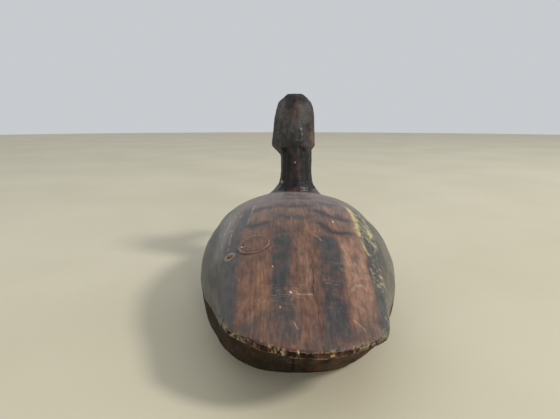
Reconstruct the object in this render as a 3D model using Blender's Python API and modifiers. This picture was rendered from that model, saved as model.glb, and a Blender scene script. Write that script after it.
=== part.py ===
"""A hollow wooden duck decoy, 380 mm from bill to tail, as its separate pieces.

The body is a carved top half and bottom half that meet on a level seam and enclose a hollow. The
head, neck and bill are one block, pinned to a raised neck seat by a dowel and a screw. A lead pad
lies in the flat bottom, and the anchor line ties to a ring that hangs in a screw eye in the breast.

Frame: metres, +Z up, the bill points along -Y, and the duck's left side is +X. The origin is on the
table, under the middle of the object's box.
"""

import math

import bmesh
import bpy
import numpy as np
from mathutils import Matrix, Vector

MM = 0.001
GAP = 0.3 * MM  # clearance between pieces that touch

# ---- Driving dimensions -------------------------------------------------------------------------
SEAM_Z = 42 * MM  # height of the joint between the two halves of the body
NECK_SEAT_Z = 100.4 * MM  # height of the joint between body and neck
NECK_Y = -84 * MM  # middle of the neck
HEAD_TURN = math.radians(-4)  # the head is set a little towards the duck's left
TAIL_TWIST = math.radians(-2.9)  # the tail is carved a little out of level
TWIST_FROM_Y, TWIST_TO_Y, TWIST_Z = 60 * MM, 190 * MM, 45 * MM
TAIL_SHIFT = -1.2 * MM  # and a little to the duck's right
KEEL_SHIFT = 7 * MM  # while its underside lies a little to the left

# Body, from the tail's edge to the breast. Each row is a cross-section, in mm and powers:
# y on the centreline, how far its sides lie forward of that, half width, height of the back, of the
# widest line and of the keel line, and the roundness of the section above and below the widest line.
BODY_SECTIONS = (
    (190.0, 20.0, 46.3, 50.0, 47.6, 45.2, 3.6, 3.0),
    (187.0, 20.0, 49.8, 51.0, 47.8, 44.6, 3.4, 2.8),
    (178.0, 17.0, 52.3, 54.0, 48.5, 40.5, 3.0, 2.5),
    (165.0, 14.0, 55.0, 58.5, 49.5, 31.0, 2.7, 2.5),
    (150.0, 10.0, 58.0, 64.0, 50.0, 15.5, 2.5, 2.5),
    (138.0, 7.0, 60.8, 69.0, 50.0, 4.0, 2.4, 2.6),
    (125.0, 4.5, 64.5, 74.0, 49.5, -4.0, 2.3, 2.7),
    (95.0, 0.0, 74.5, 85.5, 48.5, -7.0, 2.25, 2.9),
    (60.0, 0.0, 83.0, 97.0, 47.5, -8.0, 2.2, 3.0),
    (20.0, 0.0, 86.3, 104.5, 46.5, -8.0, 2.15, 2.9),
    (-20.0, 0.0, 86.0, 104.6, 46.0, -8.0, 2.1, 2.7),
    (-55.0, 0.0, 81.0, 99.2, 46.0, -7.0, 2.1, 2.6),
    (-90.0, 0.0, 70.0, 95.0, 46.0, -5.0, 2.0, 2.5),
    (-115.0, 0.0, 56.5, 88.0, 45.5, 0.5, 2.0, 2.3),
    (-135.0, 0.0, 39.0, 74.5, 45.0, 12.0, 2.0, 2.1),
    (-147.0, 0.0, 22.5, 60.0, 44.0, 26.5, 2.0, 2.0),
    (-152.0, 0.0, 9.0, 49.5, 43.0, 36.5, 2.0, 2.0),
)
BODY_RINGS = 34
BODY_RING_HALF = 12  # faces from the back's centreline to the keel line

# The hollow, a rounded oblong
HOLLOW_Y, HOLLOW_Z = 6 * MM, 45 * MM
HOLLOW_HALF_LENGTH, HOLLOW_HALF_WIDTH = 100 * MM, 66 * MM
HOLLOW_RISE, HOLLOW_DROP = 38 * MM, 27 * MM
HOLLOW_POWER = 3.0

# Neck, from its base up into the head: height, half width, half length, x and y of its middle, in mm
NECK_SECTIONS = (
    (100.55, 22.4, 30.8, -3.2, -84.0),
    (103.0, 20.2, 28.8, -3.2, -84.0),
    (106.5, 18.9, 27.2, -3.2, -84.0),
    (111.0, 18.0, 26.0, -3.2, -84.0),
    (118.0, 17.4, 24.8, -3.3, -84.0),
    (127.0, 17.1, 24.2, -3.3, -84.2),
    (137.0, 17.1, 24.4, -3.0, -84.6),
    (148.0, 17.8, 24.6, -1.6, -85.0),
    (158.0, 16.0, 21.0, 0.0, -88.0),
)
# Raised seat under the neck, top down, in the same terms
SEAT_SECTIONS = (
    (100.25, 22.8, 31.2, -3.2, -84.0),
    (97.5, 25.4, 33.6, -2.8, -84.5),
    (94.5, 28.6, 36.6, -2.2, -85.0),
    (91.0, 32.6, 40.4, -1.5, -85.0),
    (85.0, 37.0, 45.0, 0.0, -84.5),
    (74.0, 40.0, 49.0, 0.0, -82.0),
)
NECK_CORNERS, NECK_POWER = 20, 2.3

# Head and bill: y, half width, top and bottom heights, in mm
HEAD_SECTIONS = (
    (-59.0, 10.0, 186.0, 152.0),
    (-61.0, 17.0, 192.0, 145.5),
    (-67.0, 22.5, 199.5, 141.0),
    (-79.0, 24.0, 205.0, 138.5),
    (-95.0, 23.4, 206.0, 138.0),
    (-110.0, 21.6, 204.0, 137.5),
    (-121.0, 19.5, 198.0, 137.0),
    (-130.0, 16.6, 185.0, 135.5),
    (-138.0, 14.6, 171.0, 134.0),
    (-150.0, 13.6, 159.0, 131.0),
    (-165.0, 14.4, 149.0, 127.0),
    (-179.0, 15.0, 141.5, 123.5),
    (-187.0, 12.8, 136.5, 123.0),
    (-189.65, 8.5, 133.5, 125.0),
)
# The knife-cut outline of a head section, down its left side and up its right side: share of half
# width, share of height
HEAD_FACETS_LEFT = ((0.25, 1.0), (0.70, 0.86), (0.85, 0.62), (1.0, 0.15), (0.64, 0.0))
HEAD_FACETS_RIGHT = ((-0.74, 0.0), (-1.04, 0.15), (-0.99, 0.64), (-0.90, 0.87), (-0.40, 1.0))

# Fastenings and fittings
DOWEL_X, DOWEL_Y, DOWEL_RADIUS = -2.5 * MM, -96 * MM, 6.35 * MM
DOWEL_BOTTOM, DOWEL_TOP = 80 * MM, 132 * MM
NECK_SCREW_Y, NECK_SCREW_RADIUS, NECK_SCREW_TOP = -72 * MM, 2.3 * MM, 124 * MM
WASHER_SEAT_Z, WASHER_RADIUS, WASHER_THICKNESS = 82 * MM, 8 * MM, 1.5 * MM
BODY_SCREW_PLACES = ((24, -104), (-24, -104), (22, 119), (-18, 119))  # x, y in mm
BODY_SCREW_RADIUS, BODY_SCREW_TOP = 2.0 * MM, 60 * MM
COUNTERBORE_RADIUS, COUNTERBORE_TOP, PLUG_TOP = 5.0 * MM, 9 * MM, 5 * MM
WEIGHT_Y, WEIGHT_LENGTH, WEIGHT_WIDTH, WEIGHT_DEPTH = -18 * MM, 104 * MM, 38 * MM, 8.6 * MM
WEIGHT_CORNER = 6 * MM
WEIGHT_SCREW_PLACES = ((11, 25), (-11, 25), (11, -61), (-11, -61))  # x, y in mm
WEIGHT_SCREW_RADIUS, WEIGHT_SCREW_TOP = 1.6 * MM, 16 * MM
EYE_Y, EYE_Z, EYE_RADIUS, EYE_DEPTH = -113 * MM, 181 * MM, 5 * MM, 4.5 * MM
PUTTY_RADIUS, PUTTY_DEPTH = 7 * MM, 2.4 * MM
BACK_PLUG_XY, BACK_PLUG_RADIUS, BACK_PLUG_DEPTH = (35 * MM, 92 * MM), 10.8 * MM, 9 * MM
BACK_NAIL_XY, BACK_NAIL_HEAD, BACK_NAIL_SHANK = (53 * MM, 100 * MM), 2.2 * MM, 1.0 * MM
BACK_NAIL_LENGTH = 20 * MM
LINE_EYE_Z, LINE_EYE_AHEAD = 30 * MM, 8 * MM
LINE_EYE_HOLE, LINE_EYE_WIRE, LINE_EYE_SHANK = 3.5 * MM, 1.4 * MM, 26 * MM
RING_RADIUS, RING_WIRE, RING_GAP = 10 * MM, 1.2 * MM, 0.15 * MM


# ---- Helpers ------------------------------------------------------------------------------------
def clear_scene():
    for obj in list(bpy.data.objects):
        bpy.data.objects.remove(obj, do_unlink=True)


def new_collection(name):
    collection = bpy.data.collections.new(name)
    bpy.context.scene.collection.children.link(collection)
    return collection


def new_material(name, colour, roughness, metallic=0.0):
    material = bpy.data.materials.new(name)
    material.use_nodes = True
    shader = material.node_tree.nodes["Principled BSDF"]
    shader.inputs["Base Color"].default_value = (*colour, 1.0)
    shader.inputs["Roughness"].default_value = roughness
    shader.inputs["Metallic"].default_value = metallic
    return material


def object_from(bm, name, collection, location=(0, 0, 0)):
    """A new object that holds bm, with its origin at location and its shape where bm has it."""
    bmesh.ops.recalc_face_normals(bm, faces=bm.faces)
    bmesh.ops.translate(bm, verts=bm.verts, vec=-Vector(location))
    mesh = bpy.data.meshes.new(name)
    bm.to_mesh(mesh)
    bm.free()
    obj = bpy.data.objects.new(name, mesh)
    obj.location = location
    collection.objects.link(obj)
    return obj


def finish(obj, material, sharp_degrees=40):
    obj.data.materials.append(material)
    obj.data.shade_smooth()
    obj.data.set_sharp_from_angle(angle=math.radians(sharp_degrees))
    return obj


def cutter_from(bm, name):
    obj = object_from(bm, name, CUTTERS)
    obj.hide_render = True
    obj.display_type = "WIRE"
    return obj


def boolean(obj, tool, operation="DIFFERENCE"):
    modifier = obj.modifiers.new(tool.name, "BOOLEAN")
    modifier.operation = operation
    modifier.object = tool


def section_curve(rows, column):
    """A smooth function of a section table's first column, without overshoot between its rows."""
    table = np.array(sorted(rows), float)
    x, y = table[:, 0], table[:, column]
    steps, slopes = np.diff(x), np.diff(y) / np.diff(x)
    tangents = np.zeros(len(x))
    tangents[0], tangents[-1] = slopes[0], slopes[-1]
    for i in range(1, len(x) - 1):
        if slopes[i - 1] * slopes[i] > 0:
            before, after = 2 * steps[i] + steps[i - 1], steps[i] + 2 * steps[i - 1]
            tangents[i] = (before + after) / (before / slopes[i - 1] + after / slopes[i])

    def value(at):
        i = int(np.clip(np.searchsorted(x, at) - 1, 0, len(steps) - 1))
        t = (at - x[i]) / steps[i]
        rise = (1 + 2 * t) * (1 - t) ** 2 * y[i] + t * t * (3 - 2 * t) * y[i + 1]
        lean = t * (1 - t) ** 2 * tangents[i] - t * t * (1 - t) * tangents[i + 1]
        return rise + lean * steps[i]

    return value


def signed_power(value, power):
    return math.copysign(abs(value) ** power, value)


def loft(rings, close_ends=True):
    """A bmesh with quads between rings of equally many points, and its two ends closed."""
    bm = bmesh.new()
    rows = [[bm.verts.new(point) for point in ring] for ring in rings]
    count = len(rows[0])
    for first, second in zip(rows, rows[1:]):
        for i in range(count):
            j = (i + 1) % count
            bm.faces.new((first[i], first[j], second[j], second[i]))
    if close_ends:
        bm.faces.new(rows[0])
        bm.faces.new(rows[-1])
    return bm


def cylinder(radius, low, high, segments=20, x=0.0, y=0.0, top_radius=None):
    """An upright cylinder or cone between two heights."""
    bm = bmesh.new()
    bmesh.ops.create_cone(
        bm,
        cap_ends=True,
        segments=segments,
        radius1=radius,
        radius2=radius if top_radius is None else top_radius,
        depth=high - low,
        matrix=Matrix.Translation((x, y, (low + high) / 2)),
    )
    return bm


def joined(*parts):
    """One bmesh that holds the shapes of several."""
    whole = bmesh.new()
    for part in parts:
        mesh = bpy.data.meshes.new("part")
        part.to_mesh(mesh)
        part.free()
        whole.from_mesh(mesh)
        bpy.data.meshes.remove(mesh)
    return whole


def turned(profile, segments, name, collection):
    """A turned solid about Z from (radius, height) points that run down its outer side."""
    bm = bmesh.new()
    verts = [bm.verts.new((radius, 0, height)) for radius, height in profile]
    for first, second in zip(verts, verts[1:]):
        bm.edges.new((first, second))
    mesh = bpy.data.meshes.new(name)
    bm.to_mesh(mesh)
    bm.free()
    obj = bpy.data.objects.new(name, mesh)
    collection.objects.link(obj)
    screw = obj.modifiers.new("turn", "SCREW")
    screw.steps = screw.render_steps = segments
    screw.use_merge_vertices = True
    screw.merge_threshold = 0.00002
    return obj


# ---- Body ---------------------------------------------------------------------------------------
def twisted(point):
    """A body point after the tail's slight twist about a lengthwise line."""
    share = min(1.0, max(0.0, (point.y - TWIST_FROM_Y) / (TWIST_TO_Y - TWIST_FROM_Y)))
    turn = Matrix.Rotation(TAIL_TWIST * share * share * (3 - 2 * share), 3, "Y")
    pivot = Vector((0, point.y, TWIST_Z))
    shift = KEEL_SHIFT * share * max(0.0, 1 - point.z / TWIST_Z)
    return pivot + turn @ (point - pivot) + Vector((shift + TAIL_SHIFT * share, 0, 0))


def body_ring(curves, y):
    """The body's outline at station y, from the back's centreline round by +X and back."""
    ahead, half, top, side, keel, upper, lower = (curve(y) for curve in curves)
    points = []
    for step in range(2 * BODY_RING_HALF):
        angle = math.pi * step / BODY_RING_HALF
        power = upper if math.cos(angle) > 0 else lower
        rise = top - side if math.cos(angle) > 0 else side - keel
        across = signed_power(math.sin(angle), 2 / power)
        height = side + rise * signed_power(math.cos(angle), 2 / power)
        points.append(twisted(Vector((half * across, y - ahead * across**2, height)) * MM))
    return points


def body_stations():
    """Centreline positions of the rings, closer together towards both ends."""
    tail, breast = BODY_SECTIONS[0][0], BODY_SECTIONS[-1][0]
    shares = (0.5 - 0.5 * math.cos(math.pi * i / BODY_RINGS) for i in range(BODY_RINGS + 1))
    return [tail + (breast - tail) * share for share in shares]


def body_blank():
    """The whole outside of the body, closed, before it is split on the seam."""
    curves = [section_curve(BODY_SECTIONS, column) for column in range(1, 8)]
    rings = [body_ring(curves, y) for y in body_stations()]
    bm = loft(rings, close_ends=False)
    bm.verts.ensure_lookup_table()
    count = 2 * BODY_RING_HALF
    tail = bm.verts[:count]
    bm.faces.new((tail[0], tail[1], tail[count - 1]))
    for i in range(1, BODY_RING_HALF - 1):
        bm.faces.new((tail[i], tail[i + 1], tail[count - i - 1], tail[count - i]))
    bm.faces.new((tail[BODY_RING_HALF - 1], tail[BODY_RING_HALF], tail[BODY_RING_HALF + 1]))
    bm.faces.new(bm.verts[len(bm.verts) - count :])
    return bm


def cut_level(bm, height, keep_above):
    """Cuts bm on a level plane, keeps one side and closes it with a flat face."""
    geometry = bm.verts[:] + bm.edges[:] + bm.faces[:]
    cut = bmesh.ops.bisect_plane(
        bm,
        geom=geometry,
        plane_co=(0, 0, height),
        plane_no=(0, 0, 1),
        clear_inner=keep_above,
        clear_outer=not keep_above,
    )
    edges = [item for item in cut["geom_cut"] if isinstance(item, bmesh.types.BMEdge)]
    bmesh.ops.edgeloop_fill(bm, edges=edges)


def hollow_cutter():
    """The hollow, which both halves share."""
    rings = []
    for i in range(1, 16):
        along = -math.cos(math.pi * i / 16)
        share = (1 - abs(along) ** HOLLOW_POWER) ** (1 / HOLLOW_POWER)
        ring = []
        for step in range(20):
            angle = 2 * math.pi * step / 20
            across = signed_power(math.sin(angle), 2 / HOLLOW_POWER)
            height = signed_power(math.cos(angle), 2 / HOLLOW_POWER)
            rise = HOLLOW_RISE if height > 0 else HOLLOW_DROP
            x = HOLLOW_HALF_WIDTH * share * across
            ring.append((x, HOLLOW_Y + HOLLOW_HALF_LENGTH * along, HOLLOW_Z + rise * share * height))
        rings.append(ring)
    return cutter_from(loft(rings), "hollow_cutter")


def oval_ring(height, half_width, half_length, middle_x, middle_y, turn=0.0):
    """A squarish oval, level, in mm."""
    points = []
    for step in range(NECK_CORNERS):
        angle = 2 * math.pi * step / NECK_CORNERS
        x = half_width * signed_power(math.cos(angle), 2 / NECK_POWER)
        y = half_length * signed_power(math.sin(angle), 2 / NECK_POWER)
        points.append(Vector((middle_x + x, middle_y + y, height)) * MM)
    spin = Matrix.Rotation(turn, 3, "Z")
    pivot = Vector((0, NECK_Y, 0))
    return [pivot + spin @ (point - pivot) for point in points]


def surface_point(curves, x, y):
    """Where the back is at (x, y), and its outward normal."""

    def height(px, py):
        station = py / MM
        ahead, half, top, side, _, upper, _ = (curve(station) for curve in curves)
        for _ in range(8):
            ahead, half, top, side, _, upper, _ = (curve(station) for curve in curves)
            station = py / MM + ahead * min(1.0, abs(px / MM) / half) ** 2
        share = (1 - (abs(px / MM) / half) ** upper) ** (1 / upper)
        return twisted(Vector((px, py, (side + (top - side) * share) * MM))).z

    step = 0.5 * MM
    slope_x = (height(x + step, y) - height(x - step, y)) / (2 * step)
    slope_y = (height(x, y + step) - height(x, y - step)) / (2 * step)
    return Vector((x, y, height(x, y))), Vector((-slope_x, -slope_y, 1)).normalized()


def set_along(bm, point, normal):
    """Turns a bmesh made upright at the origin so that its +Z runs along normal from point."""
    turn = normal.to_track_quat("Z", "Y").to_matrix().to_4x4()
    bmesh.ops.transform(bm, matrix=Matrix.Translation(point) @ turn, verts=bm.verts)
    return bm


def make_body(paint):
    """The two halves of the body, with every seat and hole that the other pieces need."""
    curves = [section_curve(BODY_SECTIONS, column) for column in range(1, 8)]
    hollow = hollow_cutter()

    top = body_blank()
    cut_level(top, SEAM_Z + GAP / 2, keep_above=True)
    top = finish(object_from(top, "body_top", DECOY), paint)
    seat = cutter_from(loft([oval_ring(*row) for row in SEAT_SECTIONS]), "neck_seat_blank")
    boolean(top, seat, "UNION")
    flat = [(height, *SEAT_SECTIONS[0][1:]) for height in (SEAT_SECTIONS[0][0], 130.0)]
    boolean(top, cutter_from(loft([oval_ring(*row) for row in flat]), "neck_seat_flat"))
    boolean(top, hollow)
    pilots = [
        cylinder(BODY_SCREW_RADIUS + GAP, SEAM_Z - 5 * MM, BODY_SCREW_TOP + MM, 12, x * MM, y * MM)
        for x, y in BODY_SCREW_PLACES
    ]
    dowel = cylinder(DOWEL_RADIUS + GAP, DOWEL_BOTTOM - MM, NECK_SEAT_Z + 5 * MM, x=DOWEL_X, y=DOWEL_Y)
    screw = cylinder(
        NECK_SCREW_RADIUS + GAP, WASHER_SEAT_Z - 5 * MM, NECK_SEAT_Z + 5 * MM, 12, DOWEL_X, NECK_SCREW_Y
    )
    boolean(top, cutter_from(joined(*pilots, dowel, screw), "top_bores"))
    low = WASHER_SEAT_Z - 14 * MM
    spot = cylinder(WASHER_RADIUS + 2 * GAP, low, WASHER_SEAT_Z, x=DOWEL_X, y=NECK_SCREW_Y)
    boolean(top, cutter_from(spot, "washer_spot"))

    point, normal = surface_point(curves, *BACK_PLUG_XY)
    hole = cylinder(BACK_PLUG_RADIUS + GAP, -BACK_PLUG_DEPTH - GAP, 12 * MM, 24)
    boolean(top, cutter_from(set_along(hole, point, normal), "back_plug_hole"))
    point, normal = surface_point(curves, *BACK_NAIL_XY)
    head = cylinder(BACK_NAIL_HEAD + GAP, -1.6 * MM, 5 * MM, 12)
    boolean(top, cutter_from(set_along(head, point, normal), "back_nail_sink"))
    shank = cylinder(BACK_NAIL_SHANK + GAP, -BACK_NAIL_LENGTH - MM, -MM, 10)
    boolean(top, cutter_from(set_along(shank, point, normal), "back_nail_hole"))

    bottom = body_blank()
    cut_level(bottom, SEAM_Z - GAP / 2, keep_above=False)
    cut_level(bottom, 0.0, keep_above=True)
    bottom = finish(object_from(bottom, "body_bottom", DECOY), paint)
    boolean(bottom, hollow)
    half_length, half_width = WEIGHT_LENGTH / 2 + GAP, WEIGHT_WIDTH / 2 + GAP
    recess = weight_block(half_length, half_width, -5 * MM, WEIGHT_DEPTH + 2 * GAP)
    boolean(bottom, cutter_from(recess, "weight_recess"))
    bores = []
    for x, y in BODY_SCREW_PLACES:
        bores.append(cylinder(BODY_SCREW_RADIUS + GAP, 8 * MM, SEAM_Z + 5 * MM, 12, x * MM, y * MM))
    for x, y in WEIGHT_SCREW_PLACES:
        low, high = WEIGHT_DEPTH - MM, WEIGHT_SCREW_TOP + MM
        bores.append(cylinder(WEIGHT_SCREW_RADIUS + GAP, low, high, 10, x * MM, y * MM))
    boolean(bottom, cutter_from(joined(*bores), "bottom_bores"))
    sinks = [
        cylinder(COUNTERBORE_RADIUS, -5 * MM, COUNTERBORE_TOP, 16, x * MM, y * MM)
        for x, y in BODY_SCREW_PLACES
    ]
    boolean(bottom, cutter_from(joined(*sinks), "bottom_counterbores"))
    hole = cylinder(LINE_EYE_WIRE + GAP, -LINE_EYE_SHANK - MM, 10 * MM, 12)
    hole = set_along(hole, line_eye_root(), Vector((0, -1, 0)))
    boolean(bottom, cutter_from(hole, "line_eye_hole"))


def weight_block(half_length, half_width, low, high):
    """An upright block with rounded corners, on the weight's place."""
    curve = []
    corner_steps = 4
    for quarter, (sign_x, sign_y) in enumerate(((1, 1), (-1, 1), (-1, -1), (1, -1))):
        for step in range(corner_steps + 1):
            angle = math.pi / 2 * (quarter + step / corner_steps)
            x = sign_x * (half_width - WEIGHT_CORNER) + WEIGHT_CORNER * math.cos(angle)
            y = sign_y * (half_length - WEIGHT_CORNER) + WEIGHT_CORNER * math.sin(angle)
            curve.append((x, WEIGHT_Y + y))
    return loft([[(x, y, height) for x, y in curve] for height in (low, high)])


def make_back_plug(paint, steel):
    """The round wooden plug let into the left of the back, and the nail beside it."""
    curves = [section_curve(BODY_SECTIONS, column) for column in range(1, 8)]
    point, normal = surface_point(curves, *BACK_PLUG_XY)
    plug = cylinder(BACK_PLUG_RADIUS, -BACK_PLUG_DEPTH, 0.2 * MM, 24)
    finish(object_from(set_along(plug, point, normal), "back_plug", DECOY, point), paint)
    point, normal = surface_point(curves, *BACK_NAIL_XY)
    nail = turned(
        (
            (0, -0.2 * MM),
            (BACK_NAIL_HEAD, -0.2 * MM),
            (BACK_NAIL_HEAD, -1.2 * MM),
            (BACK_NAIL_SHANK, -1.3 * MM),
            (BACK_NAIL_SHANK, -BACK_NAIL_LENGTH + 3 * MM),
            (0, -BACK_NAIL_LENGTH),
        ),
        12,
        "back_nail",
        DECOY,
    )
    nail.location = point
    nail.rotation_mode = "QUATERNION"
    nail.rotation_quaternion = normal.to_track_quat("Z", "Y")
    nail.data.materials.append(steel)


# ---- Head ---------------------------------------------------------------------------------------
def head_ring(y, half, top, bottom):
    """The knife-cut outline of the head or bill at station y, turned with the head."""
    facets = ((0.0, 1.0), *HEAD_FACETS_LEFT, (0.0, 0.0), *HEAD_FACETS_RIGHT)
    outline = [(half * across, bottom + (top - bottom) * up) for across, up in facets]
    pivot, spin = Vector((0, NECK_Y, 0)), Matrix.Rotation(HEAD_TURN, 3, "Z")
    return [pivot + spin @ (Vector((x, y, z)) * MM - pivot) for x, z in outline]


def eye_frame(side):
    """Where an eye sits on the head, and its outward direction. side is 1 on the duck's left."""
    half = section_curve(HEAD_SECTIONS, 1)(EYE_Y / MM)
    top, bottom = (section_curve(HEAD_SECTIONS, column)(EYE_Y / MM) for column in (2, 3))
    up = (EYE_Z / MM - bottom) / (top - bottom)
    facets = HEAD_FACETS_LEFT[::-1] if side > 0 else HEAD_FACETS_RIGHT
    across = np.interp(up, [height for _, height in facets], [abs(x) for x, _ in facets])
    pivot, spin = Vector((0, NECK_Y, 0)), Matrix.Rotation(HEAD_TURN, 3, "Z")
    point = Vector((side * half * across * MM, EYE_Y, EYE_Z))
    outward = Vector((side, -0.16, 0.10)).normalized()
    return pivot + spin @ (point - pivot), spin @ outward


def make_head(paint, wood, steel):
    """The head, neck and bill in one block, and the dowel, screw and washer that hold it."""
    neck_rings = [oval_ring(*row, turn=HEAD_TURN) for row in NECK_SECTIONS]
    seat_centre = (0, NECK_Y, NECK_SECTIONS[0][0] * MM)
    head = finish(object_from(loft(neck_rings), "head", DECOY, seat_centre), paint, 25)
    skull = cutter_from(loft([head_ring(*row) for row in HEAD_SECTIONS]), "head_blank")
    boolean(head, skull, "UNION")
    low = NECK_SEAT_Z - 5 * MM
    bores = (
        cylinder(DOWEL_RADIUS + GAP, low, DOWEL_TOP + MM, x=DOWEL_X, y=DOWEL_Y),
        cylinder(NECK_SCREW_RADIUS + GAP, low, NECK_SCREW_TOP + MM, 12, DOWEL_X, NECK_SCREW_Y),
    )
    boolean(head, cutter_from(joined(*bores), "head_bores"))
    for side, name in ((1, "left"), (-1, "right")):
        point, outward = eye_frame(side)
        wide = set_along(cylinder(PUTTY_RADIUS + GAP, -PUTTY_DEPTH - GAP, 9 * MM, 20), point, outward)
        boolean(head, cutter_from(wide, f"putty_socket_{name}"))
        deep = set_along(cylinder(EYE_RADIUS + GAP, -EYE_DEPTH - GAP, 9 * MM, 20), point, outward)
        boolean(head, cutter_from(deep, f"eye_socket_{name}"))

    dowel = cylinder(DOWEL_RADIUS, DOWEL_BOTTOM, DOWEL_TOP, x=DOWEL_X, y=DOWEL_Y)
    finish(object_from(dowel, "neck_dowel", DECOY, (DOWEL_X, DOWEL_Y, DOWEL_BOTTOM)), wood)

    washer = cylinder(WASHER_RADIUS, -WASHER_THICKNESS, 0)
    washer_z = WASHER_SEAT_Z - GAP
    washer_place = (DOWEL_X, NECK_SCREW_Y, washer_z)
    bmesh.ops.translate(washer, verts=washer.verts, vec=washer_place)
    washer = finish(object_from(washer, "neck_washer", DECOY, washer_place), steel)
    low, high = WASHER_SEAT_Z - 6 * MM, WASHER_SEAT_Z + 3 * MM
    hole = cylinder(NECK_SCREW_RADIUS + GAP, low, high, 12, DOWEL_X, NECK_SCREW_Y)
    boolean(washer, cutter_from(hole, "washer_hole"))
    seat_z = washer_z - WASHER_THICKNESS - GAP
    length = NECK_SCREW_TOP - seat_z
    screw = turned_screw("neck_screw", NECK_SCREW_RADIUS, 4.6 * MM, 3 * MM, length, steel)
    screw.location = (DOWEL_X, NECK_SCREW_Y, seat_z)


def turned_screw(name, shank, head, head_height, length, steel, countersunk=False):
    """A wood screw that stands point up on its head: its origin is under the head."""
    neck = head_height if countersunk else 0.0
    screw = turned(
        (
            (0, length),
            (shank * 0.6, length - 3.0 * shank),
            (shank, length - 4.5 * shank),
            (shank, neck),
            (head, 0),
            (head * (1.0 if countersunk else 0.8), -0.3 * MM if countersunk else -head_height),
            (0, -0.3 * MM if countersunk else -head_height),
        ),
        12,
        name,
        DECOY,
    )
    screw.data.materials.append(steel)
    return screw


def make_eyes(glass, putty):
    """A glass eye and the ring of putty that beds it, on each side of the head."""
    dome = 1.7 * MM
    for side, name in ((1, "left"), (-1, "right")):
        point, outward = eye_frame(side)
        profile = [(0.0, dome)]
        for step in range(1, 6):
            angle = math.pi / 2 * step / 5
            profile.append((EYE_RADIUS * math.sin(angle), dome * math.cos(angle)))
        profile += [(EYE_RADIUS, -EYE_DEPTH + MM), (EYE_RADIUS - MM, -EYE_DEPTH), (0, -EYE_DEPTH)]
        eye = turned(profile, 20, f"eye_{name}", DECOY)
        rim = turned(
            (
                (EYE_RADIUS + GAP, -PUTTY_DEPTH),
                (EYE_RADIUS + GAP, 0.7 * MM),
                (EYE_RADIUS + 0.9 * MM, 0.8 * MM),
                (PUTTY_RADIUS, 0.1 * MM),
                (PUTTY_RADIUS, -PUTTY_DEPTH),
                (EYE_RADIUS + GAP, -PUTTY_DEPTH),
            ),
            20,
            f"eye_putty_{name}",
            DECOY,
        )
        for obj, material in ((eye, glass), (rim, putty)):
            obj.location = point
            obj.rotation_mode = "QUATERNION"
            obj.rotation_quaternion = outward.to_track_quat("Z", "Y")
            obj.data.materials.append(material)


# ---- Bottom fastenings and fittings --------------------------------------------------------------
def make_body_screws(steel, wood):
    """The four long screws that clamp the halves together, and the plugs that hide their heads."""
    for number, (x, y) in enumerate(BODY_SCREW_PLACES, 1):
        seat_z = COUNTERBORE_TOP - GAP
        length = BODY_SCREW_TOP - seat_z
        screw = turned_screw(f"body_screw_{number}", BODY_SCREW_RADIUS, 4 * MM, 2.6 * MM, length, steel)
        screw.location = (x * MM, y * MM, seat_z)
        plug = cylinder(COUNTERBORE_RADIUS - GAP, GAP, PLUG_TOP, 16, x * MM, y * MM)
        finish(object_from(plug, f"screw_plug_{number}", DECOY, (x * MM, y * MM, GAP)), wood)


def make_weight(lead, steel):
    """The lead pad let into the bottom, and the four screws that hold it."""
    pad = weight_block(WEIGHT_LENGTH / 2, WEIGHT_WIDTH / 2, GAP, WEIGHT_DEPTH)
    pad = finish(object_from(pad, "ballast_weight", DECOY, (0, WEIGHT_Y, GAP)), lead)
    sink, sink_depth = 3.4 * MM, 1.9 * MM
    bores = []
    for x, y in WEIGHT_SCREW_PLACES:
        bores.append(cylinder(WEIGHT_SCREW_RADIUS + GAP, -MM, WEIGHT_DEPTH + MM, 12, x * MM, y * MM))
    boolean(pad, cutter_from(joined(*bores), "weight_bores"))
    cones = []
    for x, y in WEIGHT_SCREW_PLACES:
        low, high = -MM, GAP + sink_depth + 0.4 * MM
        cone = cylinder(sink + MM, low, high, 12, x * MM, y * MM, top_radius=WEIGHT_SCREW_RADIUS)
        cones.append(cone)
    boolean(pad, cutter_from(joined(*cones), "weight_countersinks"))
    for number, (x, y) in enumerate(WEIGHT_SCREW_PLACES, 1):
        seat_z = 2 * GAP
        screw = turned_screw(
            f"weight_screw_{number}",
            WEIGHT_SCREW_RADIUS,
            sink - 0.3 * MM,
            sink_depth - 0.3 * MM,
            WEIGHT_SCREW_TOP - seat_z,
            steel,
            countersunk=True,
        )
        screw.location = (x * MM, y * MM, seat_z)


def line_eye_root():
    """The point of the breast, at the screw eye's height, where its shank goes in."""
    keel = section_curve(BODY_SECTIONS, 5)
    low, high = BODY_SECTIONS[-1][0], -115.0
    for _ in range(40):
        middle = (low + high) / 2
        low, high = (low, middle) if keel(middle) < LINE_EYE_Z / MM else (middle, high)
    return Vector((0, middle * MM, LINE_EYE_Z))


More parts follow.
